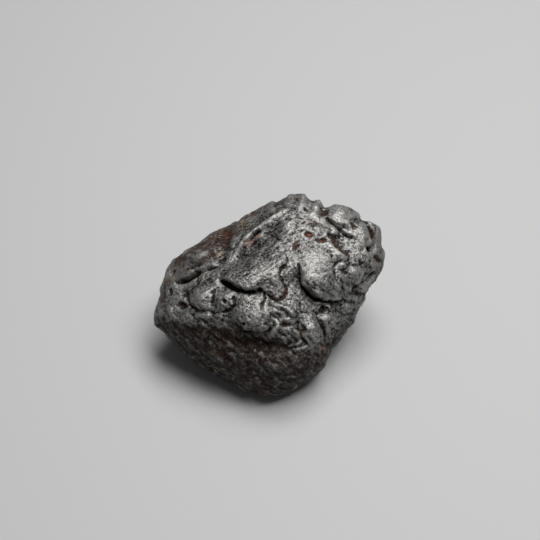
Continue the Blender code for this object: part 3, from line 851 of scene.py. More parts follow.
# Each stretch: the wrinkles' height; their turn, length, width and seed; and the patch that they lie in.
WRINKLES = {
    "upper middle": (0.35, (38, 5, 1.3, 1), (-2, 14.75, 13, 8.5, 38)),
    "upper left": (0.35, (40, 5, 1.1, 2), (-13.75, 15, 17.5, 5.5, 38)),
    "lower left": (0.4, (-40, 4, 1.2, 3), (-11.25, -12.5, 17.5, 8.5, -25)),
}


def off_rest():
    """1 over most of the skin, easing to 0 where it faces straight down."""
    return np.clip((skin.normals[:, 2] + 0.97) * 8, 0, 1)


def low_front():
    """1 where the skin faces down as seen, easing to 0 where it faces up."""
    return np.clip(-(skin.normals @ UP) * 2 + 0.2, 0, 1)


def lump_layers():
    """Lumps of two sizes all over, the larger gentler on the side that shows."""
    front = np.clip((skin.normals @ TOWARD) * 1.5, 0, 1)
    large = FAR_LUMPS + (FRONT_LUMPS - FAR_LUMPS) * front
    small = SMALL_LUMPS + LOW_LUMPS * low_front()
    skin.height += large * (lumps(LUMP_SIZE, 3) - LUMP_MIDDLE) * off_rest()
    skin.height += small * (lumps(SMALL_LUMP_SIZE, 4) - LUMP_MIDDLE) * off_rest()


for rise, flow, place in WRINKLES.values():
    skin.height += rise * streaks(*flow) * patch(*place)
lump_layers()
skin.settle("small marks")
skin.take(fit_outline(skin.points, LAST_RIM_POWER))

# %% [markdown]
# ## Fine grain
#
# Up close the crust is drawn and grainy, down to what the mesh can still hold. Streaks follow the flow, up
# to the right above and down to the right below, and lumps and waves of about a millimetre lie between them.

# %% Fine grain
FINE_LUMPS = 0.13
FINE_LUMP_SIZE = 1.5
LOW_LOSS = 0.4
GRAIN = 0.05
GRAIN_SIZE = 0.75
DRAWN = 0.14
LOW_DRAWN = 0.3


def fine_grain():
    low = low_front()
    drawn = DRAWN * streaks(32, 3.2, 0.7, 5) * np.clip(patch(-3, 12, 26, 14, 38) * 1.5, 0, 1)
    drawn += LOW_DRAWN * streaks(-42, 2.6, 0.8, 6) * low
    fine = FINE_LUMPS * (1 - LOW_LOSS * low) * (lumps(FINE_LUMP_SIZE, 6) - LUMP_MIDDLE)
    skin.height += fine * off_rest() + drawn * off_rest()
    skin.height += GRAIN * waves(GRAIN_SIZE, 8) * off_rest()


fine_grain()
skin.settle("fine grain")

# %% [markdown]
# ## The flat spot, pressed
#
# The stone stands on one flat spot. A cut through a lumpy underside would leave several small islands, so
# the skin over the spot is first pressed down past the floor, most in the middle. The cut itself comes last.

# %% Press the flat spot
REST_RADIUS = 8.5
PRESSED_PAST = 0.3


def press_rest():
    """Fill the underside's hollows over the flat spot, so that one cut leaves one spot."""
    away = np.hypot(skin.points[:, 0], skin.points[:, 1])
    depth = REST_DEPTH + PRESSED_PAST * (1 - (away / REST_RADIUS) ** 2)
    under = (away < REST_RADIUS) & (skin.points[:, 2] < 0)
    points = skin.points.copy()
    points[under, 2] = np.minimum(points[under, 2], -depth[under])
    skin.take(points)
    return under.sum()


print("points over the flat spot:", press_rest())

# %% [markdown]
# ## Stains
#
# Rust and ochre crumbs lie where water and soil left them, and painted highlights and painted shade are laid
# in the same way, as brighter and darker stains. Each is a soft patch or a soft line on the skin, kept as a
# number that the finish reads, so that colour can change without a picture. A table holds the stains of one
# kind. A patch is given as how far right and up it shows, its two half-widths and its strength, and a line
# as its points, its width and its strength.

# %% Stain tools
STAIN_REACH = 3
STAIN_FADE = 0.2
STAINED = 0.3


def stain(name, right, up, rx, ry, amount):
    """Stain a soft patch."""
    skin.stains[name] += amount * patch(right, up, rx, ry)


def stain_line(name, points, width, amount):
    """Stain along a soft line."""
    near, distance, _, share = along(points, width * STAIN_REACH)
    strength = amount * fade(share, STAIN_FADE, STAIN_FADE)
    skin.stains[name][near] += strength * np.exp(-(distance / width) ** 2)


def tell_stain(name):
    """Print how much of the skin a stain shows on."""
    share = float((skin.stains[name] > STAINED).mean())
    print(name, "shows on", round(100 * share, 1), "% of the points")


print("stains to lay:", ", ".join(skin.stains))

# %% Painted shade on the lower front, and the dark far side
# Painted shade: under this line the lower front, which faces down from the light, is darkened to
# black-brown.
SHADE_LINE = ((-30, -5), (-26, -5.5), (-20, -6), (-14, -6.25), (-8, -7), (-6, -8.5), (0, -9), (2.5, -11),
             (3.5, -13), (7, -13.5), (10.5, -14), (14, -12), (16, -9), (19, -6.5), (22, -4), (24, -1.5),
             (30, 2))
LINE_WANDER = 2.0
LINE_SOFTNESS = 3.0
FAR_DARK = 0.6
FAR_RUST = 0.5


def painted_front_shade_and_far_side():
    """Painted shade in black-brown under a line that wanders across the lower front, and the dark, rusty far
    side.
    """
    right, up, _ = seen(skin.points)
    line = np.array(SHADE_LINE, float)
    edge = np.interp(right, line[:, 0], line[:, 1])
    under = edge - up + LINE_WANDER * waves(4, 21)
    skin.stains["dark"] += np.clip(under / LINE_SOFTNESS + 0.4, 0, 1)
    away = np.clip(0.2 - (skin.normals @ TOWARD) * 2, 0, 1)
    skin.stains["dark"] += away * np.clip(FAR_DARK + 0.7 * waves(7, 23), 0, 1)
    skin.stains["rust"] += FAR_RUST * away * np.clip(waves(9, 25) * 3, 0, 1)


painted_front_shade_and_far_side()
tell_stain("dark")

# %% Brown rust
RUST_LINES = (
    ([(-26.5, 2.75), (-23.5, 8.25), (-17.5, 12), (-11, 16.25), (-4.5, 20), (4, 23.5)], 4.2, 0.75),
    ([(8.5, 2), (10.5, -0.25), (13, -1.75)], 1.2, 0.9),
    ([(0, -2), (2, -1.25), (3.75, -0.25), (4.25, 1.75), (3.75, 3.25)], 0.8, 0.6),
)
RUST_PATCHES = (
    (19, 17.25, 3.0, 2.0, 0.8), (21.75, 16.75, 1.2, 1.0, 0.9), (11.25, 17.75, 5.0, 1.2, 0.8),
    (9.75, 15.25, 1.8, 1.3, 1.3), (13, 13.75, 2.0, 1.0, 1.3), (6.25, 12.25, 1.6, 2.4, 0.8),
    (-15.75, -0.5, 1.4, 2.4, 0.6), (26.75, 8, 1.3, 2.2, 1.0), (-26.5, -1.75, 1.4, 3.0, 1.0),
    (-11, -8.25, 4.0, 3.0, 0.6), (4, -7.5, 1.9, 1.5, 1.1), (3.5, -10, 1.6, 1.4, 0.9),
    (8.25, -9, 1.2, 2.6, 0.9), (-6.25, -3.25, 1.5, 1.5, 0.5), (-20.75, 3.75, 4.0, 1.5, 0.8),
    (-5, -22.5, 8.0, 3.5, 0.5), (-13.75, -13.75, 7.0, 3.0, 0.5), (15.25, 10.25, 1.0, 1.0, 0.6),
)


def streaky_rust():
    """Rust and darker streaks in turn along the upper left strip, and rust in streaks down the shaded lower
    front.
    """
    flow = np.clip(streaks(36, 3.5, 0.8, 9) * 2.2 + 0.35, 0, 1)
    skin.stains["rust"] += 0.9 * flow * patch(-14, 14.5, 19, 6.5, 38)
    skin.stains["dark"] += 0.5 * (1 - flow) * patch(-17, 12, 17, 6, 40)
    skin.stains["rust"] += 0.35 * flow * patch(9, 16, 9, 7)
    fall = np.clip(streaks(-42, 2.6, 0.8, 6) * 2.2 + 0.3, 0, 1)
    skin.stains["rust"] += 0.35 * fall * skin.stains["dark"]


streaky_rust()
for line in RUST_LINES:
    stain_line("rust", *line)
for spot in RUST_PATCHES:
    stain("rust", *spot)
tell_stain("rust")

# %% Orange rust in pits and grooves
ORANGE_LINES = (
    ([(-6.75, 12.25), (-4.5, 13.75), (-2, 15.75)], 0.75, 0.75),
    ([(14, -11.75), (13, -13.5), (12.25, -14.5)], 0.55, 0.9),
)
ORANGE_PATCHES = (
    (9.75, 15, 1.0, 0.8, 0.9), (13, 13.5, 1.2, 0.5, 0.8), (-1, 22, 0.7, 0.7, 0.8),
    (0.75, 20.5, 0.8, 0.6, 0.6), (6.5, 24.25, 1.6, 0.7, 0.5), (2.25, -0.75, 0.5, 0.9, 0.8),
    (21, 5.75, 0.7, 0.5, 0.6), (-25.5, 3.5, 1.6, 1.0, 0.7), (-26.75, -3.25, 0.8, 1.2, 0.6),
    (-10.75, -11.5, 1.4, 1.0, 0.4), (19.25, 17.75, 1.2, 1.0, 0.4), (13.5, 17.25, 1.6, 0.4, 0.5),
    (26.75, 8.25, 0.7, 1.2, 0.5), (8.75, -7.5, 0.9, 0.5, 0.5),
)

for line in ORANGE_LINES:
    stain_line("orange", *line)
for spot in ORANGE_PATCHES:
    stain("orange", *spot)
tell_stain("orange")

# %% Ochre crumbs and flakes
CRUMBS = (
    (-12.5, 10.25, 1.2, 2.4, 0.8), (-6.25, 17.5, 2.6, 1.8, 0.65), (-7, 18.5, 0.8, 0.8, 1.0),
    (-24.25, 4.25, 0.9, 0.9, 0.9), (-16.5, 5, 1.3, 0.8, 0.7), (-12.5, 14.75, 0.7, 1.8, 0.5),
    (16.75, 11.5, 0.6, 0.6, 0.6), (19, -9.5, 0.8, 0.6, 1.2), (-23, 7.25, 0.8, 1.6, 0.6),
    (-20, 10, 0.8, 1.6, 0.5), (0.5, -6.25, 0.6, 1.2, 0.5), (-23.5, 3.5, 1.6, 0.6, 0.6),
)
FLAKES = (
    [(6.5, -23.38), (8.25, -22.62), (10.25, -21.5)], [(-2, -24.75), (0, -25.25), (2.5, -24.88)],
    [(-15.25, -17.25), (-13.5, -18.25), (-12, -19.12)], [(12.5, -19.75), (13.5, -18.5), (14, -17.75)],
    [(20.5, -7.75), (21.5, -6), (21.75, -4.75)], [(24.25, -1), (24.5, 0.5)], [(17.5, -12), (18.75, -10.5)],
)
FLAKE_WIDTH = 0.45
FLAKE_STRENGTH = 0.9

for spot in CRUMBS:
    stain("tan", *spot)
for flake in FLAKES:
    stain_line("tan", flake, FLAKE_WIDTH, FLAKE_STRENGTH)
tell_stain("tan")

# %% Painted highlights, and painted glints on the dark front
# Painted highlights: the sheen stain brightens the colour where the light catches cushions and ridges.
HIGHLIGHT_PATCHES = (
    (11.5, 8.25, 5.5, 6.0, 0.8), (10.5, 20.5, 5, 4, 1.0), (-0.5, 5.75, 5.0, 3.5, 0.45),
    (-2.75, -2.25, 1.4, 3.0, 0.7), (18.75, 20.75, 4.5, 1.5, 0.4), (23, 15.25, 1.8, 2.6, 0.5),
    (-3.75, -6.25, 5.0, 1.6, 0.5), (10.5, -8.75, 2.4, 3.0, 0.4), (-18.75, -0.5, 2.0, 3.5, 0.4),
    (-16.5, -5.25, 3.0, 0.9, 0.5), (15, -5.75, 2.6, 0.9, 0.6), (7, 9.25, 2.0, 3.0, 0.4),
)
HIGHLIGHT_LINES = (
    ([(12, 13.25), (13.5, 15), (15, 16.5)], 0.7, 0.8),
    ([(13, 13.5), (15.25, 12), (17.5, 10), (19.75, 9.25)], 0.7, 0.8),
    ([(-9.5, 8.75), (-7.25, 12.5), (-4.75, 15.25), (-1.75, 17.75), (2.5, 20.5)], 0.7, 0.6),
    ([(3.75, -5.5), (1.75, -7.75), (0, -10.25)], 0.6, 0.5),
    ([(-26.25, 1.75), (-24.5, -2.5), (-23, -5.75)], 0.7, 0.4),
)
GLINT_SIZE = 1.3
GLINT_STRENGTH = 0.6

for spot in HIGHLIGHT_PATCHES:
    stain("sheen", *spot)
# Painted glints: bright flecks that thin the painted shade of the low front.
glints = np.clip((waves(GLINT_SIZE, 31) - 0.28) * 5, 0, 1)
skin.stains["sheen"] += GLINT_STRENGTH * glints * np.clip(skin.stains["dark"], 0, 1)
for line in HIGHLIGHT_LINES:
    stain_line("sheen", *line)
tell_stain("sheen")

# %% Painted shade in cracks, under the ledges and along the rim
# Painted shade: dark lines in cracks, under the right ledge, down a valley, on a slope that faces from the
# light, and along rims that turn away from it.
PAINTED_SHADE_LINES = (
    ([(-26, 5), (-20, 10.5), (-13, 13.5), (-7, 18.5)], 3.0, 0.6),
    ([(-24, 4.5), (-18.75, 7.5), (-13, 10)], 1.8, 0.5),
    ([(-27, -4), (-27, 0), (-26, 4)], 1.8, 0.5),
    ([(25, 18), (27, 14.5), (27.5, 11), (27, 6)], 2.2, 0.7),
    ([(-12.75, 4), (-8.5, 1.5), (-5, 0.75), (-1.5, 0.75)], 0.6, 0.9),
    ([(-24, 3), (-19.75, 4.5), (-16.25, 6.25)], 0.5, 0.9),
    ([(9.5, 0.75), (12, -1), (15, -1.75), (18.5, -1.25)], 1.1, 0.8),
    ([(-9.5, 19.25), (-10.25, 13.75), (-10.5, 8.25)], 1.6, 0.5),
    ([(-5, 20.75), (0, 22.75), (5.5, 24.5)], 1.2, 0.55),
    ([(-5.75, 11.5), (-1.25, 14.25), (2.5, 16.25)], 2.2, 0.4),
    ([(25, 17.25), (26, 13.75), (25, 11.5)], 0.6, 0.8),
    ([(26.25, 6), (23.75, 2.75), (20.5, 0.5)], 0.6, 0.8),
    ([(28, 16.25), (28.5, 11.25), (28, 6.75), (25.5, 2.25), (22, -2.25)], 1.0, 0.6),
    ([(-20.75, 1.75), (-20.75, -1.25), (-19, -3.5)], 0.6, 0.5),
)

for line in PAINTED_SHADE_LINES:
    stain_line("dark", *line)
tell_stain("dark")

# %% [markdown]
# ## Hollows and crests, measured
#
# Rust stays where water stood, and wear polishes what stands proud. The finish also uses the same measures
# to paint shade into hollows and between the cushions, and partly painted highlights onto crests. All of
# these follow the shape, so they're measured from it: a copy of the points is averaged with its neighbours
# until it's smooth, and how far the real skin lies under or over that copy says how deep in a hollow, or how
# high on a crest, each point is.

# %% Measure hollows
FINE_ROUNDS = 16
WIDE_ROUNDS = 160


def hollow_depth(rounds):
    """How far each point lies under a smoothed copy of the skin, in mm."""
    mesh = skin.mesh
    ends = np.empty(len(mesh.edges) * 2, dtype=np.int64)
    mesh.edges.foreach_get("vertices", ends)
    a, b = ends[0::2], ends[1::2]
    count = len(skin.points)
    degree = np.bincount(a, minlength=count) + np.bincount(b, minlength=count)
    smooth = skin.points.copy()
    for _ in range(rounds):
        for axis in range(3):
            line = smooth[:, axis]
            total = np.bincount(a, line[b], count) + np.bincount(b, line[a], count)
            smooth[:, axis] = 0.5 * line + 0.5 * total / degree
    return ((smooth - skin.points) * skin.normals).sum(1)


detail = (GRID / FULL_GRID) ** 2
fine_hollow = hollow_depth(round(FINE_ROUNDS * detail))
wide_hollow = hollow_depth(round(WIDE_ROUNDS * detail))
print("fine hollows, in mm:", np.percentile(fine_hollow, (5, 95)).round(3))
print("wide hollows, in mm:", np.percentile(wide_hollow, (5, 95)).round(3))

# %% Keep the measures and stains on the mesh
HOLLOW_FULL = 0.12
BASIN_FULL = 0.6


def keep_numbers(mesh, name, numbers):
    """Keep one number per point on the mesh, under a name that a material can read."""
    layer = mesh.attributes.new(name, "FLOAT", "POINT")
    layer.data.foreach_set("value", np.ascontiguousarray(numbers, dtype=np.float32))


keep_numbers(skin.mesh, "hollow", np.clip(fine_hollow / HOLLOW_FULL, -1, 1))
keep_numbers(skin.mesh, "basin", np.clip(wide_hollow / BASIN_FULL, -1, 1))
for stain_name, numbers in skin.stains.items():
    keep_numbers(skin.mesh, stain_name, np.clip(numbers, 0, 1))
skin.mesh.vertices.foreach_set("co", ((skin.points + MIDDLE) * MM).ravel())
skin.mesh.update()
print("kept on the mesh: hollow, basin,", ", ".join(skin.stains))

# %% [markdown]
# ## The finish
#
# Fusion crust is iron oxide over iron: nearly black, with a graphite sheen where it stands proud, and brown
# where it rusts. One material does all of it, because on the real stone it's one skin. The colour, the
# metallic share and the roughness are mixed by the measured hollows and the stains, broken up by noise, and
# a fine bump gives the sparkle that is too small to be shape. The colour also holds painted shade, on the
# low front, in cracks, hollows and under ledges, and painted highlights on cushions and ridges.

# %% Nodes and sums


def node(tree, kind, inputs=(), **settings):
    """Add a node, set its properties, and link or set its inputs by name or number."""
    made = tree.nodes.new(kind)
    for key, value in settings.items():
        setattr(made, key, value)
    for key, value in dict(inputs).items():
        socket = made.inputs[key]
        if isinstance(value, bpy.types.NodeSocket):
            tree.links.new(value, socket)
        else:
            socket.default_value = value
    return made


def math_node(tree, operation, *values, clamp=False):
    made = node(tree, "ShaderNodeMath", dict(enumerate(values)), operation=operation, use_clamp=clamp)
    return made.outputs[0]


def scaled(tree, value, factor, shift):
    """The value times the factor, plus the shift."""
    return math_node(tree, "MULTIPLY_ADD", value, factor, shift)


def times(tree, first, second):
    return math_node(tree, "MULTIPLY", first, second)


def plus(tree, first, second, clamp=False):
    return math_node(tree, "ADD", first, second, clamp=clamp)


print("noise with lumps of 1 mm has a scale of", 1 / MM / 2)

# %% Measures, noise, ramps and blends


def measure(tree, name):
    """A number kept on the mesh."""
    return node(tree, "ShaderNodeAttribute", attribute_name=name).outputs["Fac"]


def grain(tree, place, size_mm, detail=3.0, rough=0.55, distortion=0.0):
    """Noise with lumps of about size_mm."""
    scale = 1 / MM / size_mm / 2
    made = node(tree, "ShaderNodeTexNoise", {"Vector": place, "Scale": scale, "Detail": detail,
                                             "Roughness": rough, "Distortion": distortion})
    return made.outputs["Fac"]


def ramp(tree, value, low, high):
    """The value taken from low..high to 0..1 with soft ends."""
    inputs = {"Value": value, "From Min": low, "From Max": high}
    return node(tree, "ShaderNodeMapRange", inputs, interpolation_type="SMOOTHSTEP").outputs["Result"]


def blend_colour(tree, share, first, second):
    """The first colour where the share is 0, the second where it is 1."""
    return node(tree, "ShaderNodeMix", {0: share, 6: first, 7: second}, data_type="RGBA").outputs[2]


def blend_number(tree, share, first, second):
    """The first number where the share is 0, the second where it is 1."""
    return node(tree, "ShaderNodeMix", {0: share, 2: first, 3: second}, data_type="FLOAT").outputs[0]


point_layers = [layer for layer in skin.mesh.attributes if layer.domain == "POINT"]
print("layers of numbers on the mesh's points:", len(point_layers))

# %% The crust's colours
CRUST_DARK = (0.013, 0.0125, 0.012, 1)
CRUST_SHEEN = (0.29, 0.285, 0.272, 1)
# BLACK_BROWN is the colour of the painted shade on the low front, in cracks and under ledges, and of the
# dark far side.
BLACK_BROWN = (0.014, 0.0055, 0.0035, 1)
RUST_DARK = (0.026, 0.013, 0.009, 1)
RUST_LIGHT = (0.085, 0.047, 0.031, 1)
ORANGE = (0.19, 0.075, 0.04, 1)
TAN = (0.22, 0.175, 0.11, 1)
print("sheen is", round(CRUST_SHEEN[0] / CRUST_DARK[0]), "times as bright as the crust under it")

# %% [markdown]
# ## How the finish is layered
#
# The finish goes on in layers. First the crust, where one number, the graphite share, runs from black oxide
# to sheen; painted highlights raise it, and painted shade lowers it in hollows. Then the black-brown painted
# shade of the low front, the cracks and the ledges, which the sheen thins. Then rust, from the hollows and
# its own stains, and last the orange and ochre crumbs. Every share is a sum of measures, each with its own
# weight, and noise takes it over or under a ramp's edge, which breaks a soft stain into crumbs.

# %% Shares of sheen, rust and crumbs
FINE_SIZE = 0.27
MIDDLE_SIZE = 1.6
BROAD_SIZE = 9.0


def sheen_and_shade_share(tree, marks, fine, middle):
    """More on crests, partly as wear and partly as painted highlight, and at the painted highlights; less in
    hollows and wide basins as painted shade; broken into specks and cloudy spots.
    """
    share = scaled(tree, marks["hollow"], factor=-0.45, shift=0.5)
    share = scaled(tree, marks["sheen"], factor=0.5, shift=share)
    share = scaled(tree, marks["basin"], factor=-0.13, shift=share)
    share = plus(tree, share, scaled(tree, fine, factor=3.0, shift=-1.6))
    return plus(tree, share, scaled(tree, middle, factor=0.9, shift=-0.45), clamp=True)


def shade_and_dark_share(tree, marks, sheen):
    """The black-brown of the dark stain: painted shade on the low front, in cracks and under ledges, with
    the dark far side; the sheen and the painted highlights thin it.
    """
    share = times(tree, marks["dark"], blend_number(tree, sheen, 1.0, 0.75))
    return times(tree, share, scaled(tree, marks["sheen"], factor=-0.7, shift=1.0))


def rust_share(tree, marks, middle):
    """More in hollows of either width and where it is stained, in spots of the middle size."""
    share = plus(tree, times(tree, marks["hollow"], 0.45), marks["rust"])
    share = plus(tree, share, times(tree, marks["basin"], 0.35))
    share = plus(tree, share, scaled(tree, middle, factor=1.1, shift=-0.85))
    return ramp(tree, share, 0.0, 0.7)


def crumb_share(tree, stained, fine, contrast, shift, full):
    """A stain broken into crumbs by the fine noise, and none where nothing is stained."""
    share = plus(tree, stained, scaled(tree, fine, contrast, shift))
    return times(tree, ramp(tree, share, 0.1, full), ramp(tree, stained, 0, 0.3))


print("noise for specks, spots and broad changes:", FINE_SIZE, MIDDLE_SIZE, BROAD_SIZE, "mm")

# %% The crust's material
SPECULAR_LEVEL = 0.09
RUST_COVER = 0.8
GRAPHITE_METAL = 0.7
DIRTY_METAL = 0.1
CRUST_ROUGH = 0.355
ROUGH_SWING = 0.22
DIRTY_ROUGH = 0.65
LOW_ROUGH = 0.5
SPARKLE_SIZE = 0.25
SPARKLE_SHARE = 0.5
SPARKLE_DEPTH = 0.00022


def crust_material():
    """The whole finish, from the numbers on the mesh and noise of four sizes."""
    material = bpy.data.materials.new("fusion_crust")
    material.use_nodes = True
    tree = material.node_tree
    shader = tree.nodes["Principled BSDF"]
    shader.inputs["Specular IOR Level"].default_value = SPECULAR_LEVEL
    place = node(tree, "ShaderNodeTexCoord").outputs["Object"]
    fine = grain(tree, place, FINE_SIZE, rough=0.6, distortion=0.4)
    middle = grain(tree, place, MIDDLE_SIZE, detail=4.0, rough=0.6)
    broad = grain(tree, place, BROAD_SIZE)
    marks = {name: measure(tree, name) for name in ("hollow", "basin", *STAIN_NAMES)}

    # sheen holds painted highlights, and painted shade in hollows; low holds the black-brown painted shade.
    sheen = sheen_and_shade_share(tree, marks, fine, middle)
    low = shade_and_dark_share(tree, marks, sheen)
    rust = rust_share(tree, marks, middle)
    orange = crumb_share(tree, marks["orange"], fine, contrast=2.4, shift=-1.35, full=0.9)
    tan = crumb_share(tree, marks["tan"], fine, contrast=3.2, shift=-1.8, full=0.8)

    rust_colour = blend_colour(tree, ramp(tree, fine, 0.4, 0.68), RUST_DARK, RUST_LIGHT)
    colour = blend_colour(tree, sheen, CRUST_DARK, CRUST_SHEEN)
    colour = blend_colour(tree, low, colour, BLACK_BROWN)
    colour = blend_colour(tree, times(tree, rust, RUST_COVER), colour, rust_colour)
    colour = blend_colour(tree, orange, colour, ORANGE)
    colour = blend_colour(tree, tan, colour, TAN)

    dirt = math_node(tree, "MAXIMUM", rust, math_node(tree, "MAXIMUM", orange, tan), clamp=True)
    metal = blend_number(tree, dirt, GRAPHITE_METAL, DIRTY_METAL)
    metal = blend_number(tree, low, metal, DIRTY_METAL)
    rough = scaled(tree, broad, ROUGH_SWING, CRUST_ROUGH)
    rough = blend_number(tree, dirt, rough, DIRTY_ROUGH)
    rough = blend_number(tree, low, rough, LOW_ROUGH)

    relief = plus(tree, fine, times(tree, grain(tree, place, SPARKLE_SIZE, detail=2.0), SPARKLE_SHARE))
    sparkle = node(tree, "ShaderNodeBump", {"Height": relief, "Strength": 1.0, "Distance": SPARKLE_DEPTH})
    tree.links.new(colour, shader.inputs["Base Color"])
    tree.links.new(metal, shader.inputs["Metallic"])
    tree.links.new(rough, shader.inputs["Roughness"])
    tree.links.new(sparkle.outputs["Normal"], shader.inputs["Normal"])
    return material


fusion_crust = crust_material()
print("crust material with", len(fusion_crust.node_tree.nodes), "nodes")

# %% [markdown]
# ## Pinholes by Geometry Nodes
#
# Gas left the hot skin through pinholes, scattered with no plan. They repeat over a surface, which is what
# Geometry Nodes do well: a cell pattern divides space, some cells are chosen at random, and the points near
# the middle of a chosen cell sink along their normals. Sizes are named inputs of the tree.

# %% The pinhole tree

# Spacing and depth are in metres, the radius is in cells, and the share is of the cells that have a hole.
PINHOLES = {"Hole spacing": 0.0028, "Hole radius": 0.22, "Hole depth": 0.0003, "Share of cells": 0.15}


def named_input(tree, name, kind="NodeSocketFloat"):
    """Add an input and give its identifier, by which a modifier sets it."""
    return tree.interface.new_socket(name=name, in_out="INPUT", socket_type=kind).identifier


def pinhole_tree():
    """The tree, and the identifier of each of its named sizes."""
    tree = bpy.data.node_groups.new("pinholes", "GeometryNodeTree")
    named_input(tree, "Geometry", "NodeSocketGeometry")
    keys = {name: named_input(tree, name) for name in PINHOLES}
    tree.interface.new_socket(name="Geometry", in_out="OUTPUT", socket_type="NodeSocketGeometry")
    source = tree.nodes.new("NodeGroupInput")
    target = tree.nodes.new("NodeGroupOutput")
    cells = node(tree, "ShaderNodeTexVoronoi",
                 {"Scale": math_node(tree, "DIVIDE", 1.0, source.outputs["Hole spacing"])})
    near = node(tree, "ShaderNodeMapRange",
                {"Value": cells.outputs["Distance"], "From Min": 0.0, "To Min": 1.0, "To Max": 0.0,
                 "From Max": source.outputs["Hole radius"]}, interpolation_type="SMOOTHSTEP")
    dice = node(tree, "ShaderNodeSeparateXYZ", {0: cells.outputs["Color"]})
    chosen = math_node(tree, "LESS_THAN", dice.outputs[0], source.outputs["Share of cells"])
    size = times(tree, chosen, dice.outputs[1])
    drop = times(tree, times(tree, near.outputs["Result"], size), source.outputs["Hole depth"])
    normal = node(tree, "GeometryNodeInputNormal").outputs[0]
    inward = node(tree, "ShaderNodeVectorMath", {0: normal, "Scale": times(tree, drop, -1.0)},
                  operation="SCALE")
    moved = node(tree, "GeometryNodeSetPosition",
                 {"Geometry": source.outputs["Geometry"], "Offset": inward.outputs[0]})
    real = node(tree, "GeometryNodeRealizeInstances", {"Geometry": moved.outputs[0]})
    finish = node(tree, "GeometryNodeSetMaterial", {"Geometry": real.outputs[0], "Material": fusion_crust})
    tree.links.new(finish.outputs[0], target.inputs[0])
    return tree, keys


pinholes, pinhole_keys = pinhole_tree()
print("pinhole tree with", len(pinholes.nodes), "nodes and the inputs", list(pinhole_keys))

# %% Run the skin through the tree


def through_tree(mesh, name, tree, values):
    """Run a mesh through a Geometry Nodes tree and give back the plain mesh that comes out."""
    carrier = bpy.data.objects.new(name, mesh)
    bpy.context.scene.collection.objects.link(carrier)
    modifier = carrier.modifiers.new(name, "NODES")
    modifier.node_group = tree
    for key, value in values.items():
        modifier[key] = value
    graph = bpy.context.evaluated_depsgraph_get()
    out = bpy.data.meshes.new_from_object(carrier.evaluated_get(graph), depsgraph=graph)
    carrier.modifiers.remove(modifier)
    bpy.data.objects.remove(carrier)
    out.name = name
    return out


sizes = {pinhole_keys[name]: value for name, value in PINHOLES.items()}
pitted = through_tree(skin.mesh, "meteorite_crust", pinholes, sizes)
print("pitted skin:", len(pitted.vertices), "points, materials", [m.name for m in pitted.materials])

# %% [markdown]
# ## The flat spot, cut
#
# A stone has to stand. Its underside is cut off level, and the cut is filled with a fill that knows about
# holes, so that the skin stays one closed body.

# %% Cut the underside level


def cut_rest(mesh):
    """Cut the mesh off at the floor and close it, and count the edges that are still open."""
    bm = bmesh.new()
    bm.from_mesh(mesh)
    everything = bm.verts[:] + bm.edges[:] + bm.faces[:]
    cut = bmesh.ops.bisect_plane(bm, geom=everything, plane_no=(0, 0, 1), clear_inner=True)
    rim = [item for item in cut["geom_cut"] if isinstance(item, bmesh.types.BMEdge)]
    bmesh.ops.triangle_fill(bm, use_beauty=True, edges=rim)
    bmesh.ops.recalc_face_normals(bm, faces=bm.faces[:])
    open_edges = sum(1 for edge in bm.edges if not edge.is_manifold)
    bm.to_mesh(mesh)
    bm.free()
    return open_edges


print("open edges after the cut:", cut_rest(pitted))

# %% The finished piece
for face in pitted.polygons:
    face.use_smooth = True
crust = bpy.data.objects.new("meteorite_crust", pitted)
bpy.context.scene.collection.objects.link(crust)
triangles = sum(len(face.vertices) - 2 for face in pitted.polygons)
print("crust:", triangles, "triangles")
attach(crust, "root")
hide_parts("meteorite")

# %% [markdown]
# ## Floor and light
#
# A dark, half-shiny thing shows its form through what it mirrors, so one large soft light stands almost
# straight above, a little to the right of the stone and past it. What faces up mirrors it as a grey sheen,
# and the low front stays dark. The floor is pale and plain, and throws a little light back up.

# %% Floor
FLOOR_REACH = 3
FLOOR_GREY = (0.40, 0.405, 0.40, 1)
FLOOR_ROUGH = 0.7


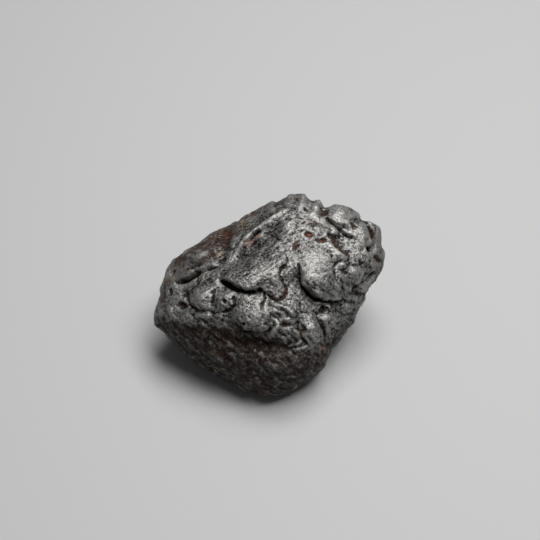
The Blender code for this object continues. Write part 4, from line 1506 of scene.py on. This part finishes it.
def add_floor():
    """A plain square floor."""
    mesh = bpy.data.meshes.new("floor")
    corners = [(-1, -1), (1, -1), (1, 1), (-1, 1)]
    mesh.from_pydata([(x * FLOOR_REACH, y * FLOOR_REACH, 0) for x, y in corners], [], [(0, 1, 2, 3)])
    floor = bpy.data.objects.new("floor", mesh)
    bpy.context.scene.collection.objects.link(floor)
    material = bpy.data.materials.new("pale_floor")
    material.use_nodes = True
    shader = material.node_tree.nodes["Principled BSDF"]
    shader.inputs["Base Color"].default_value = FLOOR_GREY
    shader.inputs["Roughness"].default_value = FLOOR_ROUGH
    mesh.materials.append(material)
    return floor


print("floor of", [round(v, 1) for v in add_floor().dimensions], "m")

# %% The key light
KEY_RIGHT = 0.12
KEY_UP = 0.40
KEY_TOWARD = 0.42
KEY_WIDTH = 0.45
KEY_HEIGHT = 0.30
KEY_WATTS = 5.4


def add_key_light():
    """A soft panel that faces the stone, placed by the sight line's directions, in metres."""
    lamp = bpy.data.lights.new("key", "AREA")
    lamp.shape = "RECTANGLE"
    lamp.size = KEY_WIDTH
    lamp.size_y = KEY_HEIGHT
    lamp.energy = KEY_WATTS
    light = bpy.data.objects.new("key", lamp)
    bpy.context.scene.collection.objects.link(light)
    middle = Vector(MIDDLE * MM)
    light.location = middle + Vector(KEY_RIGHT * RIGHT + KEY_UP * UP + KEY_TOWARD * TOWARD)
    light.rotation_euler = (middle - light.location).to_track_quat("-Z", "Y").to_euler()
    return light


print("key light at", [round(v, 2) for v in add_key_light().location], "m")

# %% The room's faint light
ROOM_LIGHT = 0.10

world = bpy.data.worlds.new("room")
world.use_nodes = True
background = world.node_tree.nodes["Background"]
background.inputs["Color"].default_value = (1, 1, 1, 1)
background.inputs["Strength"].default_value = ROOM_LIGHT
bpy.context.scene.world = world
bpy.context.scene.view_settings.view_transform = "Standard"
print("room light", ROOM_LIGHT)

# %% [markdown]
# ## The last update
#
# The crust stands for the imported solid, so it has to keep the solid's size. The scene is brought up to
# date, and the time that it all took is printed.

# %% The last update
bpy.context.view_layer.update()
print("made in", round(time.time() - started, 1), "s")
